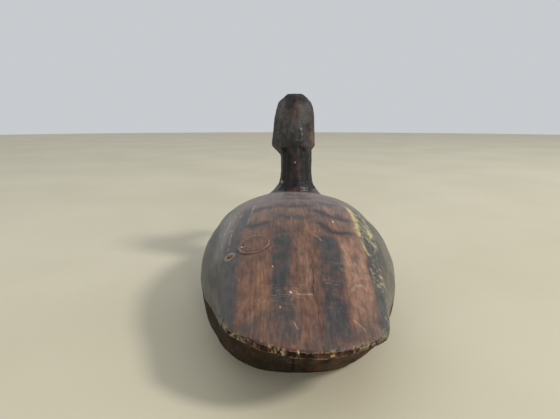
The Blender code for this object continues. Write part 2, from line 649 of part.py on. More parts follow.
def make_line_tie(iron):
    """The screw eye in the breast and the ring that hangs and swings in it."""
    root = line_eye_root()
    centre = root - Vector((0, LINE_EYE_AHEAD, 0))
    loop_radius = LINE_EYE_HOLE + LINE_EYE_WIRE
    bpy.ops.mesh.primitive_torus_add(
        major_radius=loop_radius,
        minor_radius=LINE_EYE_WIRE,
        major_segments=24,
        minor_segments=10,
        location=centre,
        rotation=(0, math.pi / 2, 0),
    )
    eye = adopt(bpy.context.object, "line_eye", iron)
    start = LINE_EYE_AHEAD - loop_radius + 0.4 * LINE_EYE_WIRE
    shank = cylinder(LINE_EYE_WIRE * 0.97, -LINE_EYE_SHANK, start, 12)
    boolean(eye, cutter_from(set_along(shank, root, Vector((0, -1, 0))), "line_eye_shank"), "UNION")

    pivot = centre - Vector((0, 0, LINE_EYE_HOLE - RING_WIRE - RING_GAP))
    bpy.ops.mesh.primitive_torus_add(
        major_radius=RING_RADIUS,
        minor_radius=RING_WIRE,
        major_segments=32,
        minor_segments=8,
        location=pivot - Vector((0, 0, RING_RADIUS)),
        rotation=(math.pi / 2, 0, 0),
    )
    ring = adopt(bpy.context.object, "line_ring", iron)
    swing = bpy.data.objects.new("line_ring_pivot", None)
    swing.location = pivot
    DECOY.objects.link(swing)
    bpy.context.view_layer.update()
    ring.parent = swing
    ring.matrix_parent_inverse = swing.matrix_world.inverted()


def adopt(obj, name, material):
    """Names an object made by an operator and moves it to the decoy's collection."""
    obj.name = obj.data.name = name
    for collection in list(obj.users_collection):
        collection.objects.unlink(obj)
    DECOY.objects.link(obj)
    return finish(obj, material)


clear_scene()
DECOY = new_collection("duck_decoy")
CUTTERS = new_collection("cutters")

back_paint = new_material("back_paint", (0.20, 0.085, 0.055), 0.5)
head_paint = new_material("head_paint", (0.035, 0.022, 0.017), 0.35)
bare_wood = new_material("bare_wood", (0.55, 0.38, 0.20), 0.75)
eye_glass = new_material("eye_glass", (0.16, 0.06, 0.015), 0.05)
eye_putty = new_material("eye_putty", (0.05, 0.035, 0.028), 0.7)
lead = new_material("lead", (0.22, 0.22, 0.23), 0.55, 0.8)
steel = new_material("screw_steel", (0.30, 0.27, 0.24), 0.5, 0.9)
iron = new_material("rusty_iron", (0.16, 0.08, 0.045), 0.7, 0.6)

make_body(back_paint)
make_back_plug(back_paint, steel)
make_head(head_paint, bare_wood, steel)
make_eyes(eye_glass, eye_putty)
make_body_screws(steel, bare_wood)
make_weight(lead, steel)
make_line_tie(iron)
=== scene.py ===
"""The looks of an old hollow duck decoy, carved by hand from wood and painted.

All points are worked out in millimetres in the part's own frame: the bill points along -Y, the
tail along +Y, +X is the duck's left and z is 0 on the surface that it stands on.
"""

import math

import bmesh
import bpy
import numpy as np
from mathutils import Matrix, Vector


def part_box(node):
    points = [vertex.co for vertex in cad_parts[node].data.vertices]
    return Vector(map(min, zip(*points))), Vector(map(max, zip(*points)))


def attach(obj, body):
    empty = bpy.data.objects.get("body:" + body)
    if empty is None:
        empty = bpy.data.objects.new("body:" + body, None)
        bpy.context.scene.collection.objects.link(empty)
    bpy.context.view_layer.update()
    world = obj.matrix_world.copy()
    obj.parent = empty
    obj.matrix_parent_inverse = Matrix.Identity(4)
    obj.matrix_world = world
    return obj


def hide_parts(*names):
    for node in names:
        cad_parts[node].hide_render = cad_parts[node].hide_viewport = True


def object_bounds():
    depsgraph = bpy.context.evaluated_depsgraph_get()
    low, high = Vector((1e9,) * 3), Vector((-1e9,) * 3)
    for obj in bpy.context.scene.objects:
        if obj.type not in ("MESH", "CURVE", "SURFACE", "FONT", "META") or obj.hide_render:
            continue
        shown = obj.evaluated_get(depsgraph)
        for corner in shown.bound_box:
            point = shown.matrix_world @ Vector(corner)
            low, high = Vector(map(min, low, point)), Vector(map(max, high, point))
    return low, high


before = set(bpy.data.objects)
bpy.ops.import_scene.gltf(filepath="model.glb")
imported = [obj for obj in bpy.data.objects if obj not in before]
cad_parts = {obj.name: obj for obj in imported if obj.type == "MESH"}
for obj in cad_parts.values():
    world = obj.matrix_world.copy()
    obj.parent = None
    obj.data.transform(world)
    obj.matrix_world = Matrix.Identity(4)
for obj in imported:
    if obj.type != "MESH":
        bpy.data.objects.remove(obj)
CAD_LOW, CAD_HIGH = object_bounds()

MM = 0.001
CAD_MARGIN = 0.02
SEAM_Z, SEAM_GAP = 42.0, 0.12
NECK_SEAT_Z, NECK_SEAT_MIDDLE, NECK_SEAT_HALF = 100.25, (-3.2, -84.0), (22.8, 31.2)
HEAD_PIVOT_Y, HEAD_TURN = -84.0, math.radians(-4)
TAIL_TWIST, TWIST_FROM_Y, TWIST_TO_Y, TWIST_Z = math.radians(-2.9), 60.0, 190.0, 45.0
TAIL_SHIFT, KEEL_SHIFT = -1.2, 7.0

# y on the centreline, how far the sides lie forward of that, half width, height of the back, of the
# widest line and of the keel line, and the roundness above and below the widest line
BODY_SECTIONS = (
    (190.0, 20.0, 46.3, 50.0, 47.6, 45.2, 3.6, 3.0),
    (187.0, 20.0, 49.8, 51.0, 47.8, 44.6, 3.5, 2.8),
    (178.0, 17.0, 52.3, 54.0, 48.5, 40.5, 3.4, 2.5),
    (165.0, 14.0, 55.0, 58.5, 49.5, 31.0, 3.2, 2.5),
    (150.0, 10.0, 58.0, 64.0, 50.0, 15.5, 3.0, 2.5),
    (138.0, 7.0, 60.8, 69.0, 50.0, 4.0, 2.8, 2.6),
    (125.0, 4.5, 64.5, 74.0, 49.5, -4.0, 2.6, 2.7),
    (95.0, 0.0, 74.5, 85.5, 48.5, -7.0, 2.35, 2.9),
    (60.0, 0.0, 83.0, 97.0, 47.5, -8.0, 2.2, 3.0),
    (20.0, 0.0, 86.0, 104.3, 46.5, -8.0, 2.15, 2.9),
    (-20.0, 0.0, 85.7, 104.4, 46.0, -8.0, 2.1, 2.7),
    (-55.0, 0.0, 81.0, 99.2, 46.0, -7.0, 2.1, 2.6),
    (-90.0, 0.0, 70.0, 95.0, 46.0, -5.0, 2.0, 2.5),
    (-115.0, 0.0, 56.5, 88.0, 45.5, 0.5, 2.0, 2.3),
    (-135.0, 0.0, 39.0, 74.5, 45.0, 12.0, 2.0, 2.1),
    (-147.0, 0.0, 22.5, 60.0, 44.0, 26.5, 2.0, 2.0),
    (-152.0, 0.0, 9.0, 49.5, 43.0, 36.5, 2.0, 2.0),
)
# Height of the neck's seat against distance from its middle, in seat radii
SEAT_FILLET = (
    (0.0, 100.25), (1.0, 100.25), (1.09, 97.6), (1.21, 94.4), (1.36, 90.6), (1.6, 82.0), (1.9, 60.0),
)

# The head and bill: y, half width, top and bottom
HEAD_SECTIONS = (
    (-58.5, 12.0, 184.0, 154.0),
    (-61.0, 18.5, 192.5, 146.0),
    (-67.0, 23.0, 200.0, 141.0),
    (-79.0, 24.2, 205.3, 138.5),
    (-95.0, 23.2, 205.6, 138.0),
    (-110.0, 21.4, 203.2, 137.5),
    (-119.0, 19.4, 198.5, 137.0),
    (-126.0, 17.4, 189.5, 136.0),
    (-132.0, 15.6, 178.0, 135.2),
    (-138.0, 14.4, 168.0, 134.0),
    (-150.0, 13.6, 158.0, 131.0),
    (-165.0, 14.6, 149.5, 127.2),
    (-179.0, 15.2, 141.5, 123.7),
    (-186.5, 13.0, 136.5, 123.2),
    (-189.3, 8.5, 133.0, 125.2),
)
HEAD_CORNERS = (
    (0.0, 1.0),
    (0.25, 1.0),
    (0.70, 0.86),
    (0.86, 0.62),
    (1.0, 0.15),
    (0.64, 0.0),
    (0.0, 0.0),
    (-0.74, 0.0),
    (-1.03, 0.15),
    (-0.98, 0.64),
    (-0.88, 0.87),
    (-0.40, 1.0),
)
# Knife cuts that shape the back of the head: a point on each and the way it faces
HEAD_CUTS = (
    ((18.6, -66.8, 170.0), (0.78, 0.62, 0.03)),
    ((4.0, -59.3, 166.0), (0.20, 0.98, -0.02)),
    ((-12.6, -59.5, 166.0), (-0.40, 0.915, -0.02)),
    ((-22.2, -66.8, 168.0), (-0.90, 0.43, 0.02)),
    ((5.0, -61.2, 182.0), (0.23, 0.94, 0.25)),
    ((-9.0, -60.6, 182.0), (-0.36, 0.90, 0.24)),
    ((6.0, -65.2, 192.0), (0.26, 0.83, 0.49)),
    ((-9.0, -64.8, 192.0), (-0.34, 0.80, 0.49)),
    ((6.0, -71.0, 199.5), (0.24, 0.60, 0.76)),
    ((-9.0, -71.0, 199.5), (-0.30, 0.58, 0.76)),
    ((-18.8, -80.0, 195.8), (-0.80, 0.14, 0.58)),
    ((16.6, -76.0, 194.4), (0.80, 0.22, 0.56)),
    ((18.8, -72.0, 146.0), (0.66, 0.34, -0.67)),
    ((-21.4, -73.0, 147.0), (-0.70, 0.30, -0.65)),
)
NECK_SECTIONS = (
    (99.0, 24.4, 32.0, -3.3, -84.0),
    (100.55, 23.2, 31.2, -3.4, -84.0),
    (103.0, 21.2, 29.4, -3.6, -84.0),
    (106.5, 19.8, 28.0, -3.7, -84.0),
    (111.0, 18.9, 26.8, -3.7, -84.0),
    (118.0, 18.2, 25.6, -3.7, -84.0),
    (127.0, 18.0, 25.0, -3.7, -84.2),
    (137.0, 18.0, 25.2, -3.5, -84.6),
    (148.0, 18.8, 25.6, -2.4, -85.0),
    (158.0, 17.0, 24.0, -1.0, -85.6),
    (172.0, 13.0, 20.0, -1.0, -87.0),
)
NECK_CORNER_ANGLES = (8, 36, 66, 99, 136, 170, 200, 232, 270, 308, 340)

# Fittings, as the frame has them
DOWEL_XY, DOWEL_RADIUS = (-2.5, -96.0), 6.65
NECK_SCREW_XY, NECK_SCREW_RADIUS = (-2.5, -72.0), 2.6
WASHER_SEAT_Z, WASHER_RADIUS = 82.0, 8.6
BODY_SCREWS = ((24, -104), (-24, -104), (22, 119), (-18, 119))
WEIGHT_SCREWS = ((11, 25), (-11, 25), (11, -61), (-11, -61))
WEIGHT_MIDDLE_Y, WEIGHT_HALF, WEIGHT_CORNER = -18.0, (19.0, 52.0), 6.0
PLUG_XY, PLUG_RADIUS = (35.0, 92.0), 10.8
NAIL_XY = (53.0, 100.0)
# Radii of holes, and of the line's eye and ring and their wire
BODY_SCREW_BORE, WEIGHT_SCREW_BORE, LINE_EYE_BORE, COUNTERBORE = 2.3, 1.9, 1.7, 5.0
NAIL_BORE, NAIL_SINK, EYE_BORE, EYE_SOCKET = 1.3, 2.5, 5.3, 7.3
LINE_EYE_RADIUS, LINE_EYE_WIRE, RING_RADIUS, RING_WIRE = 4.9, 1.38, 10.0, 1.13
EYE_RADIUS, EYE_RISE = 5.0, 1.7
# The hollow's middle (y, z), half its width and length, and how far it goes up and down
HOLLOW_MIDDLE, HOLLOW_HALF, HOLLOW_RISE, HOLLOW_DROP = (6, 45), (66, 100), 38.0, 27.0
# Radius and height of a wooden plug's turned outline
SCREW_PLUG = (
    (0, 4.9), (4.3, 4.9), (4.65, 4.5), (4.65, 0.75), (4.3, 0.38), (3.2, 0.34), (1.6, 0.33), (0, 0.33),
)

# Damage: chips in the tail's edge (x, reach, depth), a dent in the tail, pits in the back plug
# (x, y, size) and a chip at the foot of the neck
TAIL_CHIPS = (
    (37, 6, 1.0), (16, 7, 0.85), (-34, 9, 1.0), (-48, 4, 0.9), (2, 5, 0.5), (-14, 4, 0.45), (46, 3, 0.7),
)
TAIL_DENT = ((12.4, 145.7), (4.6, 145.4), (-7.2, 144.9))
PLUG_PITS = ((43.6, 90.6, 1.3), (41.2, 95.6, 1.0))
NECK_CHIP_XZ = (13.0, 108.6)


# ---- Noise and curves ---------------------------------------------------------------------------
def lattice(ix, iy, iz, seed):
    """A repeatable random number from 0 to 1 for each lattice point."""
    h = (ix * 374761393 + iy * 668265263 + iz * 2147483647 + seed * 1274126177) & 0xFFFFFFFF
    h = ((h ^ (h >> 13)) * 1274126177) & 0xFFFFFFFF
    h = ((h ^ (h >> 16)) * 2246822519) & 0xFFFFFFFF
    return ((h ^ (h >> 15)) & 0xFFFF) / 65535.0


def noise(points, size, seed=0, octaves=1):
    """Smooth noise from -1 to 1. size is the length of a lump, or one length for each axis."""
    scaled = np.asarray(points, float) / np.asarray(size, float)
    total, weight, gain = np.zeros(len(scaled)), 0.0, 1.0
    for octave in range(octaves):
        base = np.floor(scaled).astype(np.int64)
        t = scaled - base
        t = t * t * (3 - 2 * t)
        value = np.zeros(len(scaled))
        for dx in (0, 1):
            for dy in (0, 1):
                for dz in (0, 1):
                    share = (t[:, 0] if dx else 1 - t[:, 0]) * (t[:, 1] if dy else 1 - t[:, 1])
                    share = share * (t[:, 2] if dz else 1 - t[:, 2])
                    corner = lattice(base[:, 0] + dx, base[:, 1] + dy, base[:, 2] + dz, seed + 17 * octave)
                    value += share * corner
        total += gain * (2 * value - 1)
        weight += gain
        gain *= 0.5
        scaled = scaled * 2.03 + 11.7
    return total / weight


def smooth(low, high, value):
    t = np.clip((value - low) / (high - low), 0, 1)
    return t * t * (3 - 2 * t)


def between(value, start, full, fade, end):
    """1 from full to fade, falling smoothly to 0 at start and at end."""
    return smooth(start, full, value) * smooth(end, fade, value)


def bell(distance, width):
    return np.exp(-((distance / width) ** 2))


def patch(x, y, middle_x, middle_y, reach_x, reach_y):
    """An oval mark, even in the middle and steeper at its edge than a bell."""
    return np.exp(-((((x - middle_x) / reach_x) ** 2 + ((y - middle_y) / reach_y) ** 2) ** 1.5))


def distance_to(x, y, place):
    return np.hypot(x - place[0], y - place[1])


def curve_of(rows, column):
    """A smooth function of a table's first column, without overshoot between its rows."""
    table = np.array(sorted(rows), float)
    x, y = table[:, 0], table[:, column]
    steps, slopes = np.diff(x), np.diff(y) / np.diff(x)
    tangents = np.zeros(len(x))
    tangents[0], tangents[-1] = slopes[0], slopes[-1]
    for i in range(1, len(x) - 1):
        if slopes[i - 1] * slopes[i] > 0:
            before, after = 2 * steps[i] + steps[i - 1], steps[i] + 2 * steps[i - 1]
            tangents[i] = (before + after) / (before / slopes[i - 1] + after / slopes[i])

    def value(at):
        at = np.clip(np.asarray(at, float), x[0], x[-1])
        i = np.clip(np.searchsorted(x, at) - 1, 0, len(steps) - 1)
        t = (at - x[i]) / steps[i]
        rise = (1 + 2 * t) * (1 - t) ** 2 * y[i] + t * t * (3 - 2 * t) * y[i + 1]
        lean = t * (1 - t) ** 2 * tangents[i] - t * t * (1 - t) * tangents[i + 1]
        return rise + lean * steps[i]

    return value


def signed_power(value, power):
    return np.sign(value) * np.abs(value) ** power


BODY = [curve_of(BODY_SECTIONS, column) for column in range(1, 8)]


def twisted(points):
    """Body points after the tail's slight twist and shift."""
    share = smooth(TWIST_FROM_Y, TWIST_TO_Y, points[..., 1])
    angle = TAIL_TWIST * share
    x, z = points[..., 0], points[..., 2] - TWIST_Z
    shift = KEEL_SHIFT * share * np.maximum(0, 1 - points[..., 2] / TWIST_Z) + TAIL_SHIFT * share
    new_x = x * np.cos(angle) + z * np.sin(angle) + shift
    new_z = TWIST_Z - x * np.sin(angle) + z * np.cos(angle)
    return np.stack((new_x, points[..., 1], new_z), axis=-1)


def back_height(x, y):
    """How high the back is at (x, y)."""
    x, y = np.asarray(x, float), np.asarray(y, float)
    station = y.copy()
    for _ in range(8):
        station = y + BODY[0](station) * np.minimum(1, np.abs(x) / BODY[1](station)) ** 2
    _, half, top, side, _, upper, _ = (curve(station) for curve in BODY)
    share = (1 - np.minimum(1, np.abs(x) / half) ** upper) ** (1 / upper)
    return twisted(np.stack((x, y, side + (top - side) * share), axis=-1))[..., 2]


def back_frame(x, y):
    """The point of the back at (x, y), and its outward normal."""
    slope_x = float(back_height(x + 0.5, y) - back_height(x - 0.5, y))
    slope_y = float(back_height(x, y + 0.5) - back_height(x, y - 0.5))
    return Vector((x, y, float(back_height(x, y)))), Vector((-slope_x, -slope_y, 1)).normalized()


def line_distance(x, y, line):
    """Distance in plan from each point to a polyline, and how far along it the nearest place is."""
    best, along = np.full(len(x), 1e9), np.zeros(len(x))
    count = len(line) - 1
    for i, (a, b) in enumerate(zip(line, line[1:])):
        dx, dy = b[0] - a[0], b[1] - a[1]
        t = np.clip(((x - a[0]) * dx + (y - a[1]) * dy) / (dx * dx + dy * dy), 0, 1)
        d = np.hypot(x - a[0] - t * dx, y - a[1] - t * dy)
        nearer = d < best
        best = np.where(nearer, d, best)
        along = np.where(nearer, (i + t) / count, along)
    return best, along


# ---- Mesh helpers -------------------------------------------------------------------------------
def mesh_object(points, faces, name):
    mesh = bpy.data.meshes.new(name)
    mesh.from_pydata((np.asarray(points) * MM).tolist(), [], faces)
    obj = bpy.data.objects.new(name, mesh)
    bpy.context.scene.collection.objects.link(obj)
    return obj


def bm_object(bm, name):
    """A new object from a bmesh made in millimetres."""
    bmesh.ops.recalc_face_normals(bm, faces=bm.faces)
    bmesh.ops.scale(bm, verts=bm.verts, vec=(MM, MM, MM))
    mesh = bpy.data.meshes.new(name)
    bm.to_mesh(mesh)
    bm.free()
    obj = bpy.data.objects.new(name, mesh)
    bpy.context.scene.collection.objects.link(obj)
    return obj


def get_points(mesh):
    flat = np.empty(len(mesh.vertices) * 3)
    mesh.vertices.foreach_get("co", flat)
    return flat.reshape(-1, 3) / MM


def set_points(mesh, points):
    mesh.vertices.foreach_set("co", (np.asarray(points) * MM).ravel())
    mesh.update()


def get_surface(mesh):
    """The mesh's points in millimetres and their normals."""
    flat = np.empty(len(mesh.vertices) * 3)
    mesh.vertices.foreach_get("normal", flat)
    return get_points(mesh), flat.reshape(-1, 3)


def inside_cad(points):
    """Points held a hair inside the box of the CAD shapes."""
    return np.clip(points, np.array(CAD_LOW) / MM + CAD_MARGIN, np.array(CAD_HIGH) / MM - CAD_MARGIN)


def in_millimetres(mesh):
    """A bmesh copy of a mesh, in millimetres."""
    bm = bmesh.new()
    bm.from_mesh(mesh)
    bmesh.ops.scale(bm, verts=bm.verts, vec=(1 / MM,) * 3)
    return bm


def face_outward(mesh):
    bm = bmesh.new()
    bm.from_mesh(mesh)
    bmesh.ops.recalc_face_normals(bm, faces=bm.faces)
    bm.to_mesh(mesh)
    bm.free()


def apply_modifiers(obj):
    """Puts the result of the object's modifiers into its mesh."""
    graph = bpy.context.evaluated_depsgraph_get()
    mesh = bpy.data.meshes.new_from_object(obj.evaluated_get(graph), depsgraph=graph)
    old = obj.data
    obj.modifiers.clear()
    obj.data = mesh
    bpy.data.meshes.remove(old)


def remeshed(obj, size, passes):
    """Gives the object an even mesh of the given size in millimetres and softens its corners."""
    remesh = obj.modifiers.new("remesh", "REMESH")
    remesh.mode, remesh.voxel_size = "VOXEL", size * MM
    obj.modifiers.new("soften", "SMOOTH").iterations = passes
    apply_modifiers(obj)


def boolean(obj, tool, operation="DIFFERENCE"):
    """Cuts tool out of obj, or joins it, and removes tool. Cut faces keep tool's material number."""
    modifier = obj.modifiers.new(tool.name, "BOOLEAN")
    modifier.operation, modifier.solver, modifier.object = operation, "EXACT", tool
    apply_modifiers(obj)
    bpy.data.objects.remove(tool, do_unlink=True)


def circle(radius, count):
    turns = (2 * math.pi * i / count for i in range(count))
    return [(radius * math.cos(turn), radius * math.sin(turn)) for turn in turns]


def ring_faces(a, b, count, flipped=False):
    """Quads between two rings of points that start at numbers a and b."""
    quads = [(a + i, b + i, b + (i + 1) % count, a + (i + 1) % count) for i in range(count)]
    return [(p, s, r, q) for p, q, r, s in quads] if flipped else quads


def loft(rings):
    bm = bmesh.new()
    rows = [[bm.verts.new(point) for point in ring] for ring in rings]
    count = len(rows[0])
    for first, second in zip(rows, rows[1:]):
        for i in range(count):
            j = (i + 1) % count
            bm.faces.new((first[i], first[j], second[j], second[i]))
    bm.faces.new(rows[0])
    bm.faces.new(rows[-1])
    return bm


def cylinder(radius, low, high, segments=32, x=0.0, y=0.0, top_radius=None):
    bm = bmesh.new()
    sizes = {"radius1": radius, "radius2": radius if top_radius is None else top_radius, "depth": high - low}
    middle = Matrix.Translation((x, y, (low + high) / 2))
    bmesh.ops.create_cone(bm, cap_ends=True, segments=segments, matrix=middle, **sizes)
    return bm


def set_along(bm, point, normal):
    """Moves a shape made upright at the origin so that its +Z runs along normal from point."""
    turn = Vector(normal).to_track_quat("Z", "Y").to_matrix().to_4x4()
    bmesh.ops.transform(bm, matrix=Matrix.Translation(point) @ turn, verts=bm.verts)
    return bm


def merged(*parts):
    whole = bmesh.new()
    for part in parts:
        mesh = bpy.data.meshes.new("part")
        part.to_mesh(mesh)
        part.free()
        whole.from_mesh(mesh)
        bpy.data.meshes.remove(mesh)
    return whole


def set_materials(obj, *materials):
    """Fills the object's material slots in order, adding those that it lacks."""
    slots = obj.data.materials
    for index, material in enumerate(materials):
        if index < len(slots):
            slots[index] = material
        else:
            slots.append(material)


def cutter(bm, name="cutter", painted=False):
    """A cutting solid. What it cuts shows the second material, or the first where it is painted."""
    for face in bm.faces:
        face.material_index = 0 if painted else 1
    obj = bm_object(bm, name)
    set_materials(obj, None, None)
    return obj


def cut_plane(bm, point, normal, fill_index=0):
    """Removes what lies beyond a plane and closes the cut."""
    geometry = bm.verts[:] + bm.edges[:] + bm.faces[:]
    cut = bmesh.ops.bisect_plane(bm, geom=geometry, plane_co=point, plane_no=normal, clear_outer=True)
    edges = [item for item in cut["geom_cut"] if isinstance(item, bmesh.types.BMEdge)]
    if edges:
        made = bmesh.ops.edgeloop_fill(bm, edges=edges)
        for face in made["faces"]:
            face.material_index = fill_index


def set_colours(obj, name, colours):
    """Stores a colour for each vertex."""
    layer = obj.data.color_attributes.new(name, "FLOAT_COLOR", "POINT")
    rgba = np.ones((len(colours), 4), np.float32)
    rgba[:, :3] = np.clip(colours, 0, 1)
    layer.data.foreach_set("color", rgba.ravel())


def set_values(obj, name, values):
    """Stores a number for each vertex."""
    layer = obj.data.attributes.new(name, "FLOAT", "POINT")
    layer.data.foreach_set("value", np.asarray(values, np.float32))


def edge_wear(mesh, passes):
    """How much each vertex stands out from its neighbours, in mm, smoothed. Ridges are positive."""
    points, normals = get_surface(mesh)
    pairs = np.empty(len(mesh.edges) * 2, np.int64)
    mesh.edges.foreach_get("vertices", pairs)
    a, b = pairs.reshape(-1, 2).T
    count = np.bincount(a, minlength=len(points)) + np.bincount(b, minlength=len(points))
    count = np.maximum(count, 1)

    def neighbours(values):
        total = np.bincount(a, values[b], len(values)) + np.bincount(b, values[a], len(values))
        return total / count

    mean = np.stack([neighbours(points[:, axis]) for axis in range(3)], axis=1)
    wear = ((points - mean) * normals).sum(1)
    for _ in range(passes):
        wear = 0.5 * wear + 0.5 * neighbours(wear)
    return wear


def piece(obj, *nodes, body="decoy", slot=None, materials=(), degrees=50):
    """Finishes a piece: its materials and which edges are sharp. Hides the frame's pieces that it stands for
    and hangs it on the body that it rides on."""
    set_materials(obj, *materials)
    obj.data.shade_smooth()
    obj.data.set_sharp_from_angle(angle=math.radians(degrees))
    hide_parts(*nodes)
    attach(obj, body)
    return obj


# ---- Body ---------------------------------------------------------------------------------------
ALONG, AROUND = ((330, 440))

# The last of the breast, as shares of its last section and how far each stands forward of it
BREAST_ROUNDING = ((0.95, 0.25), (0.86, 0.6), (0.73, 0.95), (0.55, 1.25), (0.32, 1.5), (0.12, 1.6))


def body_grid():
    """The body's outside as rings of evenly spaced points, and rows across the tail's end."""
    tail, breast = BODY_SECTIONS[0][0], BODY_SECTIONS[-1][0]
    share = np.linspace(0, 1, ALONG + 1)
    share = 0.72 * share + 0.28 * (0.5 - 0.5 * np.cos(np.pi * share))
    stations = tail + (breast - tail) * share
    ahead, half, top, side, keel, upper, lower = (curve(stations)[:, None] for curve in BODY)
    angles = np.linspace(-np.pi / 2, np.pi / 2, 500)[None, :]

    def half_ring(rise, power):
        across = signed_power(np.sin(angles), 2 / power)
        height = side + rise * signed_power(np.cos(angles), 2 / power)
        points = np.stack((half * across, stations[:, None] - ahead * across**2, height), axis=-1)
        steps = np.linalg.norm(np.diff(points, axis=1), axis=2)
        length = np.concatenate((np.zeros((len(stations), 1)), np.cumsum(steps, axis=1)), axis=1)
        even = np.empty((len(stations), AROUND // 2 + 1, 3))
        for i in range(len(stations)):
            at = np.linspace(0, length[i, -1], AROUND // 2 + 1)
            for axis in range(3):
                even[i, :, axis] = np.interp(at, length[i], points[i, :, axis])
        return even

    over, under = half_ring(top - side, upper), half_ring(keel - side, lower)
    rings = np.concatenate((over, under[:, -2:0:-1]), axis=1)
    middle = rings[-1].mean(axis=0)
    nose = [middle + (rings[-1] - middle) * share - (0, rise, 0) for share, rise in BREAST_ROUNDING]
    rings = np.concatenate((rings, nose))
    rows = 5
    shares = np.arange(1, rows)[:, None, None] / rows
    cap = over[0][None, 1:-1] * (1 - shares) + under[0][None, 1:-1] * shares
    return twisted(rings), twisted(cap)


def body_blank():
    """The closed outside of the body with its carving, wear and damage."""
    rings, cap = body_grid()
    count, half = rings.shape[1], AROUND // 2
    points = np.concatenate((rings.reshape(-1, 3), cap.reshape(-1, 3)))
    faces = []
    for i in range(len(rings) - 1):
        faces += ring_faces(i * count, (i + 1) * count, count, flipped=True)
    start, width, rows = rings.shape[0] * count, half - 1, cap.shape[0]
    columns = [[j] + [start + r * width + j - 1 for r in range(rows)] + [count - j] for j in range(1, half)]
    for left, right in zip(columns, columns[1:]):
        faces += [(left[r], left[r + 1], right[r + 1], right[r]) for r in range(rows + 1)]
    faces += [(0, columns[0][r + 1], columns[0][r]) for r in range(rows + 1)]
    faces += [(half, columns[-1][r], columns[-1][r + 1]) for r in range(rows + 1)]
    faces.append(tuple((len(rings) - 1) * count + j for j in range(count)))
    obj = mesh_object(points, faces, "body_blank")
    face_outward(obj.data)
    set_points(obj.data, carved_body(*get_surface(obj.data)))
    return obj


def tail_edge_y(x):
    """Where the tail's end is at each x."""
    share = np.clip(np.abs(x - TAIL_SHIFT) / 47.0, 0, 1)
    return 190.0 - 20.0 * share**2.15


def chip_strength(points):
    """How deeply the tail's edge is chipped near each point, from 0 to 1."""
    x = points[:, 0]
    strength = np.zeros(len(x))
    for middle, reach, depth in TAIL_CHIPS:
        strength = np.maximum(strength, depth * bell(x - middle, reach))
    grit = noise(points, (2.3, 6.0, 6.0), 5, 3)
    return np.clip((0.30 + strength) * smooth(-0.05, 0.5, grit + 0.35 * strength - 0.08), 0, 1)


def side_edge_nicks(points):
    """Noise whose peaks nick the sharp edge along the tail's sides."""
    return noise(points, (5, 4, 4), 6, 2)


def around_plug(x, y):
    """Distance from the plug's middle, stretched a little along the body, and the bearing."""
    px, py = PLUG_XY
    return np.hypot(x - px, (y - py) * 1.12), np.arctan2(y - py, x - px)


def carved_body(points, normals):
    """Body points after the knife, the rasp and years of knocks."""
    moved = points.copy()
    x, y, z = points.T
    seat_x, seat_y = NECK_SEAT_MIDDLE
    radius = np.hypot((x - seat_x) / NECK_SEAT_HALF[0], (y - seat_y) / NECK_SEAT_HALF[1])
    seat = np.interp(radius, *zip(*SEAT_FILLET))
    on_top = smooth(0.1, 0.35, normals[:, 2]) * (z > 50)
    blend = np.clip(0.5 + (seat - z) / 7.0, 0, 1)
    raised = z * (1 - blend) + seat * blend + 3.5 * blend * (1 - blend)
    raised = np.where(radius < 1.02, NECK_SEAT_Z, np.minimum(raised, np.maximum(seat, z) + 0.8))
    moved[:, 2] += (raised - z) * on_top * smooth(2.1, 1.7, radius)
    calm = smooth(1.0, 1.25, radius)

    lumps = 0.45 * noise(points, (26, 40, 26), 1) + 0.22 * noise(points, (9, 16, 9), 2)
    grain = 0.06 * noise(points, (1.5, 30, 1.5), 3, 2)
    strokes = np.abs(noise(points, (11, 22, 9), 4))
    side_share = smooth(0.75, 0.35, np.abs(normals[:, 2])) + smooth(-0.2, -0.6, normals[:, 2])
    push = (lumps + grain) * calm - 0.55 * strokes * side_share * calm
    push -= 0.25
    moved += normals * push[:, None] * smooth(0.2, 2.5, z)[:, None]

    near = bell(np.maximum(tail_edge_y(x) - y, 0), 1.7) * (y > 120) * (np.abs(z - 49) < 11)
    chips = chip_strength(points)
    upper = smooth(-0.3, 0.4, normals[:, 2])
    moved[:, 1] -= 1.5 * chips * near * (0.55 + 0.45 * upper) + 0.2 * near
    moved[:, 2] -= 1.2 * chips * near * upper + 0.3 * near * upper
    moved[:, 2] += 0.8 * chips * near * smooth(0.2, -0.5, normals[:, 2])
    side_edge = bell(z - 50.5, 4) * smooth(112, 140, y) * smooth(0.3, 0.7, np.abs(normals[:, 0]))
    moved -= normals * (0.8 * smooth(0.15, 0.5, side_edge_nicks(points)) * side_edge)[:, None]

    distance, bearing = around_plug(x, y)
    lip = 0.04 + 0.96 * smooth(-0.5, 0.6, np.sin(bearing + 0.15))
    crumble = 0.75 + 0.5 * noise(points, 2.6, 7, 2)
    rim = 1.05 * lip * crumble * bell(distance - 11.7, 1.0) * (z > 60)
    rim -= 0.40 * lip * bell(distance - 13.6, 1.3) * (z > 60)
    ring = 0.45 * bell(distance_to(x, y, NAIL_XY) - 3.4, 0.9) * (z > 60)
    dent, _ = line_distance(x, y, TAIL_DENT)
    groove = -0.35 * bell(dent, 0.8) * (z > 55)
    moved += normals * (rim + ring + groove)[:, None]
    return inside_cad(moved)


def crack_wander(y):
    """How far the drying crack strays sideways at each y."""
    return 0.9 * noise(np.stack((y * 0, y, y * 0), axis=1), 7, 21, 3)


